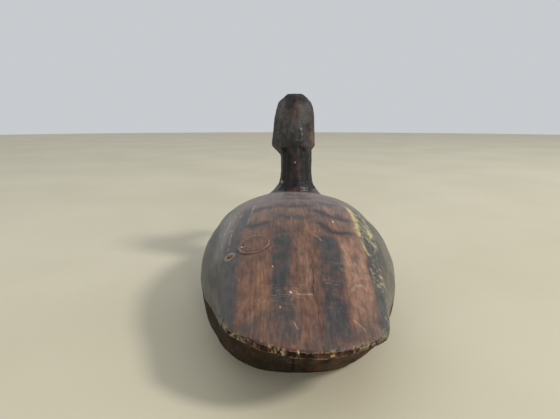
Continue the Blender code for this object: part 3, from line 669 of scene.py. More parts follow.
def wedge(line, depth, width, name):
    """A thin, wandering V along a line on the back, to cut a drying crack."""
    count = 60
    steps, corners = np.linspace(0, 1, count), np.linspace(0, 1, len(line))
    xs, ys = (np.interp(steps, corners, column) for column in zip(*line))
    rings = []
    for i, (x, y) in enumerate(zip(xs + crack_wander(ys), ys), 1):
        z = float(back_height(x, y))
        open_share = math.sin(math.pi * min(1, i / (count + 1))) ** 0.5
        w = width * (0.35 + 0.65 * open_share)
        d = depth * (0.3 + 0.7 * open_share)
        rings.append(((x - w, y, z + 2), (x + w, y, z + 2), (x + 0.06, y, z - d), (x - 0.06, y, z - d)))
    return cutter(loft(rings), name)


def rounded_block(half_x, half_y, corner, low, high):
    outline = []
    for quarter, (sx, sy) in enumerate(((1, 1), (-1, 1), (-1, -1), (1, -1))):
        for step in range(7):
            angle = math.pi / 2 * (quarter + step / 6)
            x = sx * (half_x - corner) + corner * math.cos(angle)
            outline.append((x, WEIGHT_MIDDLE_Y + sy * (half_y - corner) + corner * math.sin(angle)))
    return loft([[(x, y, z) for x, y in outline] for z in (low, high)])


def hollow():
    """The rounded oblong that both halves are hollowed to."""
    middle_y, middle_z = HOLLOW_MIDDLE
    half_x, half_y = HOLLOW_HALF
    angles = np.linspace(0, 2 * np.pi, 72, endpoint=False)
    across, height = signed_power(np.sin(angles), 2 / 3), signed_power(np.cos(angles), 2 / 3)
    rise = np.where(height > 0, HOLLOW_RISE, HOLLOW_DROP)
    rings = []
    for i in range(1, 40):
        along = -math.cos(math.pi * i / 40)
        share = (1 - abs(along) ** 3) ** (1 / 3)
        x, z = half_x * share * across, middle_z + rise * share * height
        gouge = 0.7 * np.sin(3 * angles + i * 0.7) * 0.5
        rings.append([(a + g, middle_y + half_y * along, b + g) for a, b, g in zip(x, z, gouge)])
    return cutter(loft(rings), "hollow")


def half_of_body(blank, name, keep_above):
    """A copy of the blank cut on the seam, and on the flat bottom for the lower half."""
    bm = in_millimetres(blank.data)
    if keep_above:
        cut_plane(bm, (0, 0, SEAM_Z + SEAM_GAP), (0, 0, -1), 1)
    else:
        cut_plane(bm, (0, 0, SEAM_Z - SEAM_GAP), (0, 0, 1), 1)
        cut_plane(bm, (0, 0, 0.02), (0, 0, -1), 0)
    obj = bm_object(bm, name)
    set_materials(obj, None, None)
    return obj


# ---- Colours painted on the body -----------------------------------------------------------------
RED_BROWN, WARM_BROWN, TAN = (0.108, 0.050, 0.032), (0.182, 0.088, 0.052), (0.29, 0.150, 0.068)
PINK_BROWN, BLUE_BLACK, GREEN_BLACK = (0.265, 0.152, 0.100), (0.040, 0.041, 0.042), (0.030, 0.034, 0.027)
OLIVE, NEAR_BLACK = (0.078, 0.068, 0.036), (0.013, 0.010, 0.008)
GREY_BROWN, CREAM, STRAW = (0.150, 0.142, 0.128), (0.62, 0.50, 0.30), (0.54, 0.45, 0.18)

LEFT_STRIPE = ((14.3, 78), (14.3, 113), (14.6, 142), (13.5, 168))
RIGHT_STRIPE = ((-21.7, 86), (-22.3, 115), (-20.6, 141), (-19.6, 161), (-19.0, 178))
BARS = (
    (((-17, 22), (-24, 26), (-31, 27), (-41, 23)), 3.6, 0.85),
    (((-12, 41), (-22, 50), (-29, 55.5), (-37, 55), (-46, 52)), 3.8, 1.0),
    (((-14, 64), (-21, 73), (-27, 79), (-35, 78.5), (-46, 75)), 3.4, 1.0),
    (((44, 62), (38, 67.5), (32, 66.5), (22, 61)), 3.8, 0.95),
    (((44, 33), (37, 36.5), (30, 35), (20, 35)), 4.0, 0.85),
    (((18, 50), (8, 58), (-4, 60), (-14, 54)), 3.0, 0.65),
    (((20, 30), (9, 37), (-4, 38), (-15, 33)), 3.4, 0.65),
    (((18, 8), (8, 14), (-6, 14), (-18, 9)), 3.6, 0.7),
    (((40, 12), (30, 15), (22, 13)), 3.6, 0.7),
    (((-22, 4), (-32, 7), (-42, 3)), 3.6, 0.7),
)
LEFT_EDGE_STRIPE = (
    (44, 22), (46, 40), (49, 56), (52, 77), (52.7, 93), (51.3, 113), (49.8, 133), (48.4, 152), (47, 165),
)
RIGHT_EDGE_BAND = ((-55, 66), (-54.5, 88), (-53.5, 110), (-53.5, 125), (-53, 138), (-51, 152), (-49, 160))
YELLOW_LINES = (
    (((-47, 18), (-48.6, 28), (-50.4, 43), (-48.8, 63), (-49.3, 72)), 2.3, 1.0),
    (((-44, 2), (-46, 10), (-47.4, 20)), 1.2, 0.45),
    (((-49.1, 66), (-49.5, 77), (-50.3, 89), (-52.6, 97)), 1.1, 0.65),
    (((-57, 26), (-60.5, 36), (-60.4, 47), (-62.3, 57), (-63.5, 67)), 1.0, 0.5),
    (((-51, 36), (-55, 46), (-59, 54), (-62, 66)), 0.7, 0.6),
    (((-50, 52), (-54, 60), (-57, 72), (-60, 80)), 0.8, 0.6),
    (((-58, 92), (-61, 84), (-62.5, 76)), 0.8, 0.35),
)
BEIGE_LINES = (
    (((61, 62), (60, 50), (57, 38), (52, 28)), 1.0, 0.6),
    (((55.5, 90), (55.5, 76), (54, 62), (51, 46), (48, 34)), 0.8, 0.6),
    (((66, 58), (66, 44), (63, 32)), 0.8, 0.35),
    (((38.5, 22), (39.5, 32), (41, 46), (42.6, 60)), 0.8, 0.5),
)
SCRATCHES = (
    (((4.2, 145.3), (-7.2, 144.9)), 0.6, 0.6),
    (((4.6, 144.0), (-3.0, 143.7)), 0.3, 0.3),
    (((-33.3, 137.9), (-37, 134.0), (-40.9, 132.7)), 0.9, 0.6),
    (((-30.6, 163.4), (-37, 169.1)), 0.4, 0.6),
    (((-12.4, 84.4), (-16.6, 90.3)), 0.5, 0.6),
    (((-16, 135), (-26, 136)), 0.35, 0.3),
    (((-14, 132), (-24, 133.2)), 0.25, 0.2),
    (((6.8, 168), (4.4, 173.5)), 0.35, 0.6),
)
DARK_SPOTS = (
    (9.5, 176, 7, 6, 0.8),
    (35, 170, 6, 4, 0.7),
    (-22, 172, 9, 8, 0.5),
    (3, -3, 11, 4, 0.8),
    (-22, 92, 8, 7, 0.6),
    (-6, 64, 16, 5, 0.35),
)
CRACK = ((-7.4, 82), (-7.8, 100), (-7.9, 116), (-6.9, 146), (-8.9, 162), (-9.9, 180), (-10.0, 192))
SPECKS = ((-29.1, 62.5, 1.0), (7.8, 144.0, 0.85), (14.7, 156.1, 0.7), (44.5, 92.5, 1.0), (20.3, 120, 0.5))


def mix(base, colour, share):
    share = np.clip(share, 0, 1)[:, None]
    return base * (1 - share) + np.asarray(colour) * share


class Skin:
    """Points on the outside of the body, the noise and places that its paint follows, and the paint."""

    def __init__(self, points, normals):
        self.points, self.normals = points, normals
        self.x, self.y, self.z = x, y, z = points.T
        self.wander = np.stack((noise(points, 14, 31, 2), noise(points, 17, 32, 2)), axis=1)
        self.wx, self.wy = x + 1.5 * self.wander[:, 0], y + 2.2 * self.wander[:, 1]
        self.broad, self.mid = noise(points, (20, 42, 20), 33, 3), noise(points, (7, 26, 12), 34, 3)
        self.long_mid = noise(points + 6 * self.wander[:, :1], (5.0, 95, 15), 49, 3)
        self.streak = noise(points + 2.5 * self.wander[:, :1], (1.9, 120, 9), 35, 2)
        self.across = noise(points, (22, 1.9, 22), 43, 2)
        self.flake = noise(points, (3.0, 5.0, 3.0), 36, 3)
        gaps = noise(points, (9, 7, 9), 37, 3) + 0.30 * self.streak + 0.55 * self.across
        self.broken = smooth(-0.50, 0.12, gaps)
        self.scrape = smooth(-0.25, 0.25, noise(points, (1.8, 2.6, 1.8), 39, 2) + 0.2)
        self.on_back = smooth(0.15, 0.45, normals[:, 2]) * (z > 46)
        self.paint = np.tile(RED_BROWN, (len(x), 1))

    def lay(self, colour, share):
        """Covers a share of the paint with colour."""
        self.paint = mix(self.paint, colour, share)

    def lines(self, rows, shift=0.0):
        """For each (line, width, amount): how strongly a soft line shows, and its amount."""
        for line, width, amount in rows:
            distance, _ = line_distance(self.x + shift, self.y, line)
            yield bell(distance, width), amount


def paint_ground(s):
    """Browns that follow the grain, pale strips on the rump, and a pale grey haze over the shoulders: painted
    sheen with some dusty grey.
    """
    x, y, wx, wy, mid, on_back = s.x, s.y, s.wx, s.wy, s.mid, s.on_back
    bend = 7 * noise(s.points, (24, 60, 24), 44, 2) + 2.6 * noise(s.points, (7, 70, 24), 53, 2)
    bend += 0.0022 * (y - 150) * np.abs(y - 150)
    figure = 0.5 + 0.5 * np.sin((x + bend) * 1.7)
    s.lay(WARM_BROWN, 0.40 + 0.95 * s.broad + 0.30 * s.long_mid)
    s.lay((0.052, 0.030, 0.023), 0.60 * smooth(0.0, 0.6, 0.4 * s.long_mid + 0.6 * mid + 0.35 * s.broad))
    tan_place = bell(wx - 29, 10) * between(wy, 108, 128, 160, 178)
    s.lay(TAN, 0.75 * tan_place * smooth(-0.5, 0.6, mid + 0.9 * (figure - 0.5)))
    pink = between(wx, -51, -47.5, -32.5, -28.5) * between(y, 20, 62, 150, 184)
    s.lay(PINK_BROWN, 0.9 * pink * (0.75 + 0.45 * s.long_mid + 0.25 * (figure - 0.5)))
    s.paint *= (1 - 0.22 * figure * smooth(-0.2, 0.3, s.broad + 0.2) * smooth(60, 90, y))[:, None]
    middle = smooth(9, 4, np.abs(wx + 3)) * between(y, 84, 96, 130, 150)
    s.lay(PINK_BROWN, 0.45 * middle * smooth(-0.4, 0.5, mid + s.streak))
    arcs = 0.5 + 0.5 * np.sin((wy + 0.012 * wx**2) / 24 * 2 * np.pi + 2.4)
    shoulder = between(y, -20, 10, 70, 95) * smooth(50, 40, np.abs(wx))
    s.lay(WARM_BROWN, 0.6 * arcs * shoulder)
    s.lay((0.055, 0.038, 0.032), 0.6 * (1 - arcs) * shoulder * smooth(-0.3, 0.5, mid + 0.3))
    # painted sheen: pale grey on the shoulders stands in for the room's grazing reflection, mixed with dusty
    # grey
    sheen_and_dust = smooth(84, 20, y + 12 * s.broad) * on_back
    s.lay((0.128, 0.106, 0.096), 0.70 * sheen_and_dust * smooth(-0.35, 0.45, mid + 0.5 * s.long_mid + 0.25))
    cloud = noise(s.points, (9, 15, 12), 54, 3)
    s.lay((0.034, 0.025, 0.022), 0.65 * smooth(0.12, 0.55, cloud) * smooth(80, 50, y) * on_back)


def paint_back_marks(s):
    """The two long stripes, dark spots and feather bars."""
    wx, wy, mid, flake, on_back = s.wx, s.wy, s.mid, s.flake, s.on_back
    for line, half, fades in ((LEFT_STRIPE, 7.4, 0.0), (RIGHT_STRIPE, 8.0, 0.3)):
        (_, start), (_, end) = line[0], line[-1]
        distance, along = line_distance(wx, wy, line)
        stripe = smooth(half + 2.4, half - 2.8, distance + 1.9 * flake + 1.2 * s.across)
        stripe *= between(wy, start - 3, start + 2, end - 3, end + 3)
        strength = 0.50 + 0.50 * s.broken + fades * smooth(0.35, 0.0, along)
        s.lay((0.031, 0.032, 0.034), 0.95 * stripe * np.clip(strength, 0, 1) * on_back)
    s.lay(WARM_BROWN, 0.6 * patch(wx, wy, 8.5, 140, 4.5, 6) * smooth(-0.3, 0.5, flake + 0.2))
    for *oval, amount in DARK_SPOTS:
        s.lay(BLUE_BLACK, amount * patch(wx, wy, *oval) * smooth(-0.5, 0.2, mid + 0.2) * on_back)
    for line, width, amount in BARS:
        distance, along = line_distance(wx, wy, line)
        bar = bell(distance, width * (1 + 0.5 * flake)) * (0.35 + 0.65 * between(along, 0, 0.12, 0.85, 1))
        s.lay((0.020, 0.017, 0.017), amount * bar * smooth(-0.9, 0.0, mid + 0.3) * on_back)


def paint_flanks(s):
    """Olive flanks, the wings' edges and the stripes along them, with painted shade where the left flank
    turns away from the light.
    """
    x, y, z, wx, wy, mid = s.x, s.y, s.z, s.wx, s.wy, s.mid
    steep = smooth(0.62, 0.42, s.normals[:, 2])
    left = np.maximum(smooth(51.5, 55.5, wx + 0.1 * np.maximum(0, y - 100)), steep * (x > 0))
    right = np.maximum(smooth(-50.5, -53.0, wx - 0.1 * np.maximum(0, y - 110)), steep * (x < 0))
    s.lay(OLIVE, left)
    # painted shade: the left flank is darker where it faces away from the light
    s.lay((0.036, 0.030, 0.016), 0.85 * left * smooth(0.35, 0.8, s.normals[:, 0]))
    s.lay((0.095, 0.084, 0.052), right)
    blotch = smooth(-0.15, 0.55, noise(s.points, (12, 20, 10), 38, 3))
    s.lay((0.036, 0.034, 0.024), 0.75 * blotch * np.maximum(left, right))
    rub = smooth(0.1, 0.6, noise(s.points, (4, 26, 6), 45, 3))
    s.lay((0.17, 0.135, 0.075), 0.5 * rub * np.maximum(left, right) * smooth(18, 40, z))
    wing = between(wx, 51, 57, 62, 72) * between(y, 8, 30, 82, 104)
    s.lay(GREY_BROWN, 0.9 * wing * smooth(-0.7, 0.2, mid + 0.25))
    s.lay(BLUE_BLACK, 0.7 * bell(wx - 72, 4.5) * between(y, 10, 30, 90, 120))
    dark_right = between(wx, -69, -63, -52, -50) * between(y, 5, 25, 94, 104)
    s.lay(GREEN_BLACK, 0.85 * dark_right * smooth(-0.9, 0.0, mid + 0.3))
    distance, _ = line_distance(wx, wy, LEFT_EDGE_STRIPE)
    width = np.interp(y, (20, 60, 100, 165), (4.2, 6.2, 6.2, 4.4))
    edge_line = smooth(1.35, 0.70, distance / width + 0.3 * s.flake) * (0.60 + 0.40 * s.broken)
    s.lay(BLUE_BLACK, 0.94 * edge_line * (z > 46))
    distance, _ = line_distance(wx, wy, RIGHT_EDGE_BAND)
    s.lay(BLUE_BLACK, 0.88 * (bell(distance, 4.2) * (0.6 + 0.4 * s.broken) * (z > 46)))
    gone = smooth(0.28, 0.5, noise(s.points, (1.6, 2.4, 1.6), 46, 2)) * between(wx, -62, -57, -53, -49)
    s.lay((0.40, 0.34, 0.22), 0.6 * gone * between(y, 84, 100, 120, 150) * (z > 46))


def paint_scribbles(s):
    """Thin yellow and beige brush lines on the wings."""
    x, y, scrape, high = s.x, s.y, s.scrape, s.z > 60
    for mark, amount in s.lines(YELLOW_LINES, 0.7 * s.wander[:, 1]):
        s.lay(STRAW, 0.85 * amount * (mark * (0.25 + 0.75 * scrape)) * high)
    leaning = np.stack(((x + 0.55 * y) / 3.4, (x - 0.25 * y) / 11.0, s.z / 40), axis=1)
    scribble = smooth(0.10, 0.03, np.abs(noise(leaning * 1.3, 1.0, 47)))
    scribble += smooth(0.09, 0.03, np.abs(noise(leaning * 1.8, 1.0, 48)))
    scribble *= between(x, -65, -61, -50, -48) * between(y, 18, 34, 66, 90) * high
    s.lay((0.64, 0.55, 0.24), 0.9 * scribble * (0.3 + 0.7 * scrape))
    for mark, amount in s.lines(BEIGE_LINES, 0.7 * s.wander[:, 1]):
        s.lay((0.30, 0.26, 0.17), amount * (mark * scrape) * high)


def paint_dirt(s):
    """Dirt on the tail; the lower sides and underside darker, partly their dark paint and partly painted
    shade, with painted shade under the rear and low on the left side.
    """
    x, y, z, mid, up = s.x, s.y, s.z, s.mid, s.normals[:, 2]
    tail_dirt = smooth(148, 180, y + 8 * s.broad) * s.on_back
    s.lay((0.068, 0.054, 0.049), 0.75 * tail_dirt * smooth(-0.45, 0.35, mid + 0.5 * s.broad + 0.1))
    # darker towards the bottom: the lower body's dark paint, deepened by painted shade
    s.lay((0.009, 0.006, 0.004), 0.95 * (smooth(56, 24, z + 5 * s.broad) * smooth(0.5, 0.1, up)))
    # painted shade on the rear's downward faces, under the tail
    rear_under = smooth(70, 120, y) * smooth(0.15, -0.15, up)
    s.lay((0.006, 0.004, 0.003), 0.95 * rear_under)
    s.lay((0.045, 0.021, 0.010), 0.5 * rear_under * smooth(0.1, 0.6, mid + 0.5 * s.streak))
    # painted shade low on the left side, away from the light
    s.lay((0.020, 0.018, 0.012), 0.75 * (smooth(74, 50, z) * smooth(0.80, 0.5, up) * (x > 0)))
    warm_under = rear_under * (0.35 + 0.65 * smooth(6, -26, x)) * smooth(-0.5, 0.4, mid + 0.2)
    s.lay((0.085, 0.047, 0.027), 0.75 * warm_under)
    split = np.abs(x - 6.5 - 0.5 * noise(np.stack((x * 0, y, z), axis=1), 6, 52, 2))
    s.lay((0.003, 0.002, 0.002), 0.95 * smooth(1.0, 0.4, split) * rear_under)
    underneath = smooth(-0.80, -0.93, up) * smooth(10, 4, z)
    s.lay((0.075, 0.044, 0.024), underneath * smooth(-0.3, 0.45, noise(s.points, (14, 26, 8), 40, 3)))


def paint_neck_seat(s):
    """The neck's dark paint where it runs on to the body, and the red-brown breast."""
    seat = np.hypot((s.x - NECK_SEAT_MIDDLE[0]) / 36, (s.y - NECK_SEAT_MIDDLE[1]) / 44)
    neck_paint = smooth(1.12, 0.92, seat + 0.08 * s.flake) * (s.z > 84)
    s.lay(NEAR_BLACK, 0.94 * neck_paint)
    s.lay((0.055, 0.026, 0.015), 0.5 * neck_paint * smooth(0.1, 0.5, s.flake))
    breast = smooth(-95, -125, s.y) * smooth(30, 60, s.z + 5 * s.broad) * (1 - neck_paint)
    s.lay((0.085, 0.038, 0.022), 0.8 * breast)


def paint_damage(s):
    """Scratches, specks, a dark line along the crack, the nail's putty, a painted highlight on the plug's
    lifted rim, and painted shade in the creases round the plug and down the bores of the plug and nail.
    Returns how much putty there is."""
    x, y, z, flake, on_back = s.x, s.y, s.z, s.flake, s.on_back
    for mark, amount in s.lines(SCRATCHES):
        s.lay((0.42, 0.32, 0.24), amount * (mark * (0.5 + 0.5 * s.scrape)) * on_back)
    for px, py, size in SPECKS:
        s.lay((0.75, 0.70, 0.62), smooth(size, 0.4 * size, np.hypot(x - px, y - py)) * on_back)
    crack, _ = line_distance(x - crack_wander(y), y, CRACK)
    s.lay((0.014, 0.010, 0.009), 0.7 * (bell(crack, 1.0) * smooth(-0.35, 0.25, s.mid)) * on_back)
    nail = distance_to(x, y, NAIL_XY)
    putty = smooth(4.9, 3.6, nail + 0.8 * flake) * (z > 60)
    s.lay((0.24, 0.21, 0.155), 0.7 * putty)

    distance, bearing = around_plug(x, y)
    low_side = np.sin(bearing)
    # painted highlight along the plug's raised lower rim
    rim = bell(distance - 11.9, 0.8) * smooth(-0.4, 0.5, low_side)
    s.lay((0.30, 0.20, 0.13), 0.7 * rim * smooth(-0.1, 0.4, flake) * (z > 60))
    # painted shade in the creases round the plug's edge
    for radius, width, start, amount in ((13.3, 0.8, -0.3, 0.75), (10.4, 0.6, -0.2, 0.8)):
        crease = bell(distance - radius, width) * smooth(start, 0.5, low_side)
        s.lay((0.018, 0.010, 0.008), amount * crease * (z > 60))

    # painted shade down the bores of the plug and nail, darker the deeper below the back
    bored = ((distance_to(x, y, PLUG_XY) < 13) | (nail < 4)) & (z > 55)
    s.lay((0.012, 0.008, 0.006), 0.9 * smooth(0.55, 1.3, np.where(bored, back_height(x, y) - z, 0)))
    return putty


def paint_tail_edge(s):
    """The dark lip of the tail and bare wood where it is chipped. Returns how bare the wood is."""
    count = len(s.x)
    near = smooth(3.0, 1.0, tail_edge_y(s.x) - s.y) * (s.y > 120) * smooth(44.5, 47, s.z)
    bare = near * smooth(0.42, 0.60, chip_strength(s.points))
    lip = np.tile((0.016, 0.009, 0.007), (count, 1))
    lip = mix(lip, (0.090, 0.040, 0.022), smooth(-0.1, 0.5, s.flake))
    s.lay(lip, 0.93 * near * (1 - bare))
    wood = mix(np.tile(CREAM, (count, 1)), (0.42, 0.30, 0.13), 0.45 + 0.9 * s.flake)
    s.lay(mix(wood, (0.11, 0.055, 0.028), smooth(-0.05, 0.35, noise(s.points, 1.3, 41, 2))), bare)
    side_edge = bell(s.z - 51, 2.2) * smooth(118, 140, s.y) * smooth(0.35, 0.7, np.abs(s.normals[:, 0]))
    side_bare = side_edge * smooth(0.15, 0.45, side_edge_nicks(s.points))
    s.lay((0.34, 0.25, 0.13), 0.7 * side_bare)
    return bare + 0.7 * side_bare


def paint_body(obj, shadow=None):
    """Stores the paint's colour, and how bare the wood is, for a piece of the body's outside. shadow
    gives the share of darkness that lies over it."""
    skin = Skin(*get_surface(obj.data))
    for coat in (paint_ground, paint_back_marks, paint_flanks, paint_scribbles, paint_dirt, paint_neck_seat):
        coat(skin)
    putty = paint_damage(skin)
    bare = paint_tail_edge(skin)
    if shadow:
        skin.lay((0.020, 0.012, 0.009), shadow(skin))
    set_colours(obj, "paint", skin.paint)
    set_values(obj, "bare", np.clip(bare + 0.5 * putty, 0, 1))


def finish_body(obj, paint_material):
    paint_body(obj)
    set_values(obj, "ridge", np.clip(edge_wear(obj.data, 2) / 0.10, -1, 1))
    set_materials(obj, paint_material, INNER_WOOD, BOTTOM_PAINT)
    for face in obj.data.polygons:
        x, y = face.center.x / MM, face.center.y / MM
        at_tail = y > 120 and float(tail_edge_y(np.array([x]))[0]) - y < 4 and face.normal.z < 0.25
        if face.material_index == 0 and (at_tail or (y > 100 and face.normal.z < -0.15)):
            face.material_index = 2


def make_body():
    blank = body_blank()
    top = half_of_body(blank, "carved_body_top", True)
    bottom = half_of_body(blank, "carved_body_bottom", False)
    bpy.data.objects.remove(blank, do_unlink=True)
    boolean(top, wedge(CRACK, 3.0, 0.28, "drying_crack"))
    boolean(top, hollow())
    boolean(bottom, hollow())
    x, y = NECK_SCREW_XY
    bores = [cylinder(DOWEL_RADIUS, 79, 108, 32, *DOWEL_XY), cylinder(NECK_SCREW_RADIUS, 74, 108, 24, x, y)]
    bores += [cylinder(BODY_SCREW_BORE, 38, 61, 20, *place) for place in BODY_SCREWS]
    point, normal = back_frame(*NAIL_XY)
    bores.append(set_along(cylinder(NAIL_BORE, -21, -1.5, 12), point, normal))
    boolean(top, cutter(merged(*bores), "bores"))
    wide = [set_along(cylinder(NAIL_SINK, -1.8, 8, 24), point, normal)]
    wide.append(set_along(cylinder(PLUG_RADIUS + 0.12, -9.3, 8, 96), *back_frame(*PLUG_XY)))
    boolean(top, cutter(merged(*wide), "painted_bores", painted=True))
    boolean(top, cutter(cylinder(WASHER_RADIUS, 67, WASHER_SEAT_Z, 32, x, y), "washer_spot"))
    finish_body(top, BODY_PAINT)
    piece(top, "body_top", slot="body_paint", degrees=60)

    half_x, half_y = (half + 0.3 for half in WEIGHT_HALF)
    boolean(bottom, cutter(rounded_block(half_x, half_y, WEIGHT_CORNER, -5, 9.2), "weight_recess"))
    bores = [cylinder(BODY_SCREW_BORE, 8.5, 45, 20, *place) for place in BODY_SCREWS]
    bores += [cylinder(WEIGHT_SCREW_BORE, 8.9, 17, 16, *place) for place in WEIGHT_SCREWS]
    root = line_eye_middle() + Vector((0, 8, 0))
    bores.append(set_along(cylinder(LINE_EYE_BORE, -27, 10, 16), root, (0, -1, 0)))
    boolean(bottom, cutter(merged(*bores), "bottom_bores"))
    sinks = [cylinder(COUNTERBORE, -5, 9.0, 40, *place) for place in BODY_SCREWS]
    boolean(bottom, cutter(merged(*sinks), "counterbores"))
    finish_body(bottom, BOTTOM_PAINT)
    piece(bottom, "body_bottom", slot="body_paint", degrees=60)


# ---- Back plug and nail ---------------------------------------------------------------------------
def make_plug():
    """The round plug in the back, planed to the back's curve, with a broken lower rim."""
    point, normal = back_frame(*PLUG_XY)
    turn = normal.to_track_quat("Z", "Y").to_matrix()
    radii = [1.2, 2.4, 3.6, 4.8, 6.0, 7.2, 8.4, 9.4, 10.2, 10.65, PLUG_RADIUS]
    count = 72
    top = []
    for radius in radii:
        for across, up in circle(radius, count):
            flat = point + turn @ Vector((across, up, 0))
            top.append((flat.x, flat.y, float(back_height(flat.x, flat.y)) - 0.15))
    top = np.array(top)
    bumps = 0.18 * noise(top, 4, 51, 2) + 0.10 * noise(top, (1.5, 12, 1.5), 52)
    relative = top - np.array(point)
    radius = np.linalg.norm(relative, axis=1)
    low_part = smooth(-0.6, 0.6, relative[:, 1] / PLUG_RADIUS)
    dish = -0.30 * bell(radius, 6) - (0.06 + 0.5 * low_part) * smooth(9.6, 10.8, radius)
    pits = np.zeros(len(top))
    for px, py, size in PLUG_PITS:
        pits -= 1.4 * smooth(size, 0.3 * size, np.hypot(top[:, 0] - px, top[:, 1] - py))
    top[:, 2] += bumps + dish + pits
    verts = [(point.x, point.y, float(back_height(point.x, point.y)) - 0.4)]
    verts += [tuple(Vector(p)) for p in top]
    faces = [(0, 1 + i, 1 + (i + 1) % count) for i in range(count)]
    for first in range(len(radii)):
        faces += ring_faces(1 + first * count, 1 + (first + 1) * count, count)
    start = len(verts)
    verts += [tuple(point + turn @ Vector((across, up, -9))) for across, up in circle(PLUG_RADIUS, count)]
    faces.append(tuple(start + i for i in reversed(range(count))))
    obj = mesh_object(verts, faces, "carved_back_plug")
    paint_body(obj, lambda skin: smooth(-0.6, -1.6, skin.z - back_height(skin.x, skin.y)))
    set_values(obj, "ridge", np.zeros(len(verts)))
    piece(obj, "back_plug", slot="body_paint", materials=(BODY_PAINT,))


def lathe(profile, count, name):
    """A turned shape about Z from (radius, height) points that run from the top's centre down."""
    rings = [(r, z) for r, z in profile if r > 1e-6]
    verts = [(0, 0, profile[0][1])]
    for r, z in rings:
        verts += [(x, y, z) for x, y in circle(r, count)]
    verts.append((0, 0, profile[-1][1]))
    faces = [(0, 1 + i, 1 + (i + 1) % count) for i in range(count)]
    for k in range(len(rings) - 1):
        faces += ring_faces(1 + k * count, 1 + (k + 1) * count, count)
    last, end = 1 + (len(rings) - 1) * count, len(verts) - 1
    faces += [(end, last + (i + 1) % count, last + i) for i in range(count)]
    return mesh_object(verts, faces, name)


def place(obj, point, normal=(0, 0, 1)):
    """Moves a piece made upright at the origin to a point in millimetres, its +Z along normal."""
    turn = Vector(normal).to_track_quat("Z", "Y").to_matrix().to_4x4()
    obj.data.transform(Matrix.Translation(Vector(point) * MM) @ turn)
    return obj


def make_nail():
    head = [(0, 0.15), (0.9, 0.08), (1.6, -0.12), (2.1, -0.45), (2.15, -0.9), (1.0, -1.25)]
    obj = lathe(head + [(1.0, -17), (0.4, -19.5), (0, -20)], 28, "back_nail_head")
    points = get_points(obj.data)
    points[:, :2] *= (1 + 0.06 * noise(points, 2.0, 61))[:, None]
    set_points(obj.data, points)
    place(obj, *back_frame(*NAIL_XY))
    piece(obj, "back_nail", slot="screw_steel", materials=(NAIL_IRON,), degrees=35)


# ---- Head ---------------------------------------------------------------------------------------
def head_turn(points, angle=HEAD_TURN):
    """Points of the head after it is turned on the neck."""
    moved = np.array(points, float)
    x, y = moved[..., 0].copy(), moved[..., 1] - HEAD_PIVOT_Y
    moved[..., 0] = x * math.cos(angle) - y * math.sin(angle)
    moved[..., 1] = HEAD_PIVOT_Y + x * math.sin(angle) + y * math.cos(angle)
    return moved


def head_blank():
    half, top, bottom = (curve_of(HEAD_SECTIONS, column) for column in (1, 2, 3))
    stations = np.linspace(HEAD_SECTIONS[0][0], HEAD_SECTIONS[-1][0], 150)
    rings = []
    for y in stations:
        low, high, wide = float(bottom(y)), float(top(y)), float(half(y))
        bill = smooth(-130, -142, y)
        ring = []
        for across, up in HEAD_CORNERS:
            round_up = up if up in (0.0, 1.0) else up * (1 - bill) + (0.5 + 0.30 * (up - 0.4)) * bill
            spread = across * (1 - bill) + math.copysign(min(1.0, abs(across) * 1.1), across) * bill
            ring.append((wide * spread, y, low + (high - low) * round_up))
        rings.append([tuple(p) for p in head_turn(ring)])
    bm = loft(rings)
    bmesh.ops.triangulate(bm, faces=[face for face in bm.faces if len(face.verts) > 4])
    bmesh.ops.recalc_face_normals(bm, faces=bm.faces)
    for point, normal in HEAD_CUTS:
        cut_plane(bm, point, normal)
    return bm_object(bm, "carved_head")


def neck_blank():
    columns = [curve_of(NECK_SECTIONS, column) for column in range(1, 5)]
    rings = []
    for z in np.linspace(NECK_SECTIONS[0][0], NECK_SECTIONS[-1][0], 40):
        half_x, half_y, middle_x, middle_y = (float(column(z)) for column in columns)
        ring = []
        for degrees in NECK_CORNER_ANGLES:
            angle = math.radians(degrees) + HEAD_TURN
            x = middle_x + half_x * float(signed_power(np.cos(angle), 0.87))
            y = middle_y + half_y * float(signed_power(np.sin(angle), 0.87))
            ring.append((x, y, z))
        rings.append(ring)
    return bm_object(loft(rings), "neck_blank")


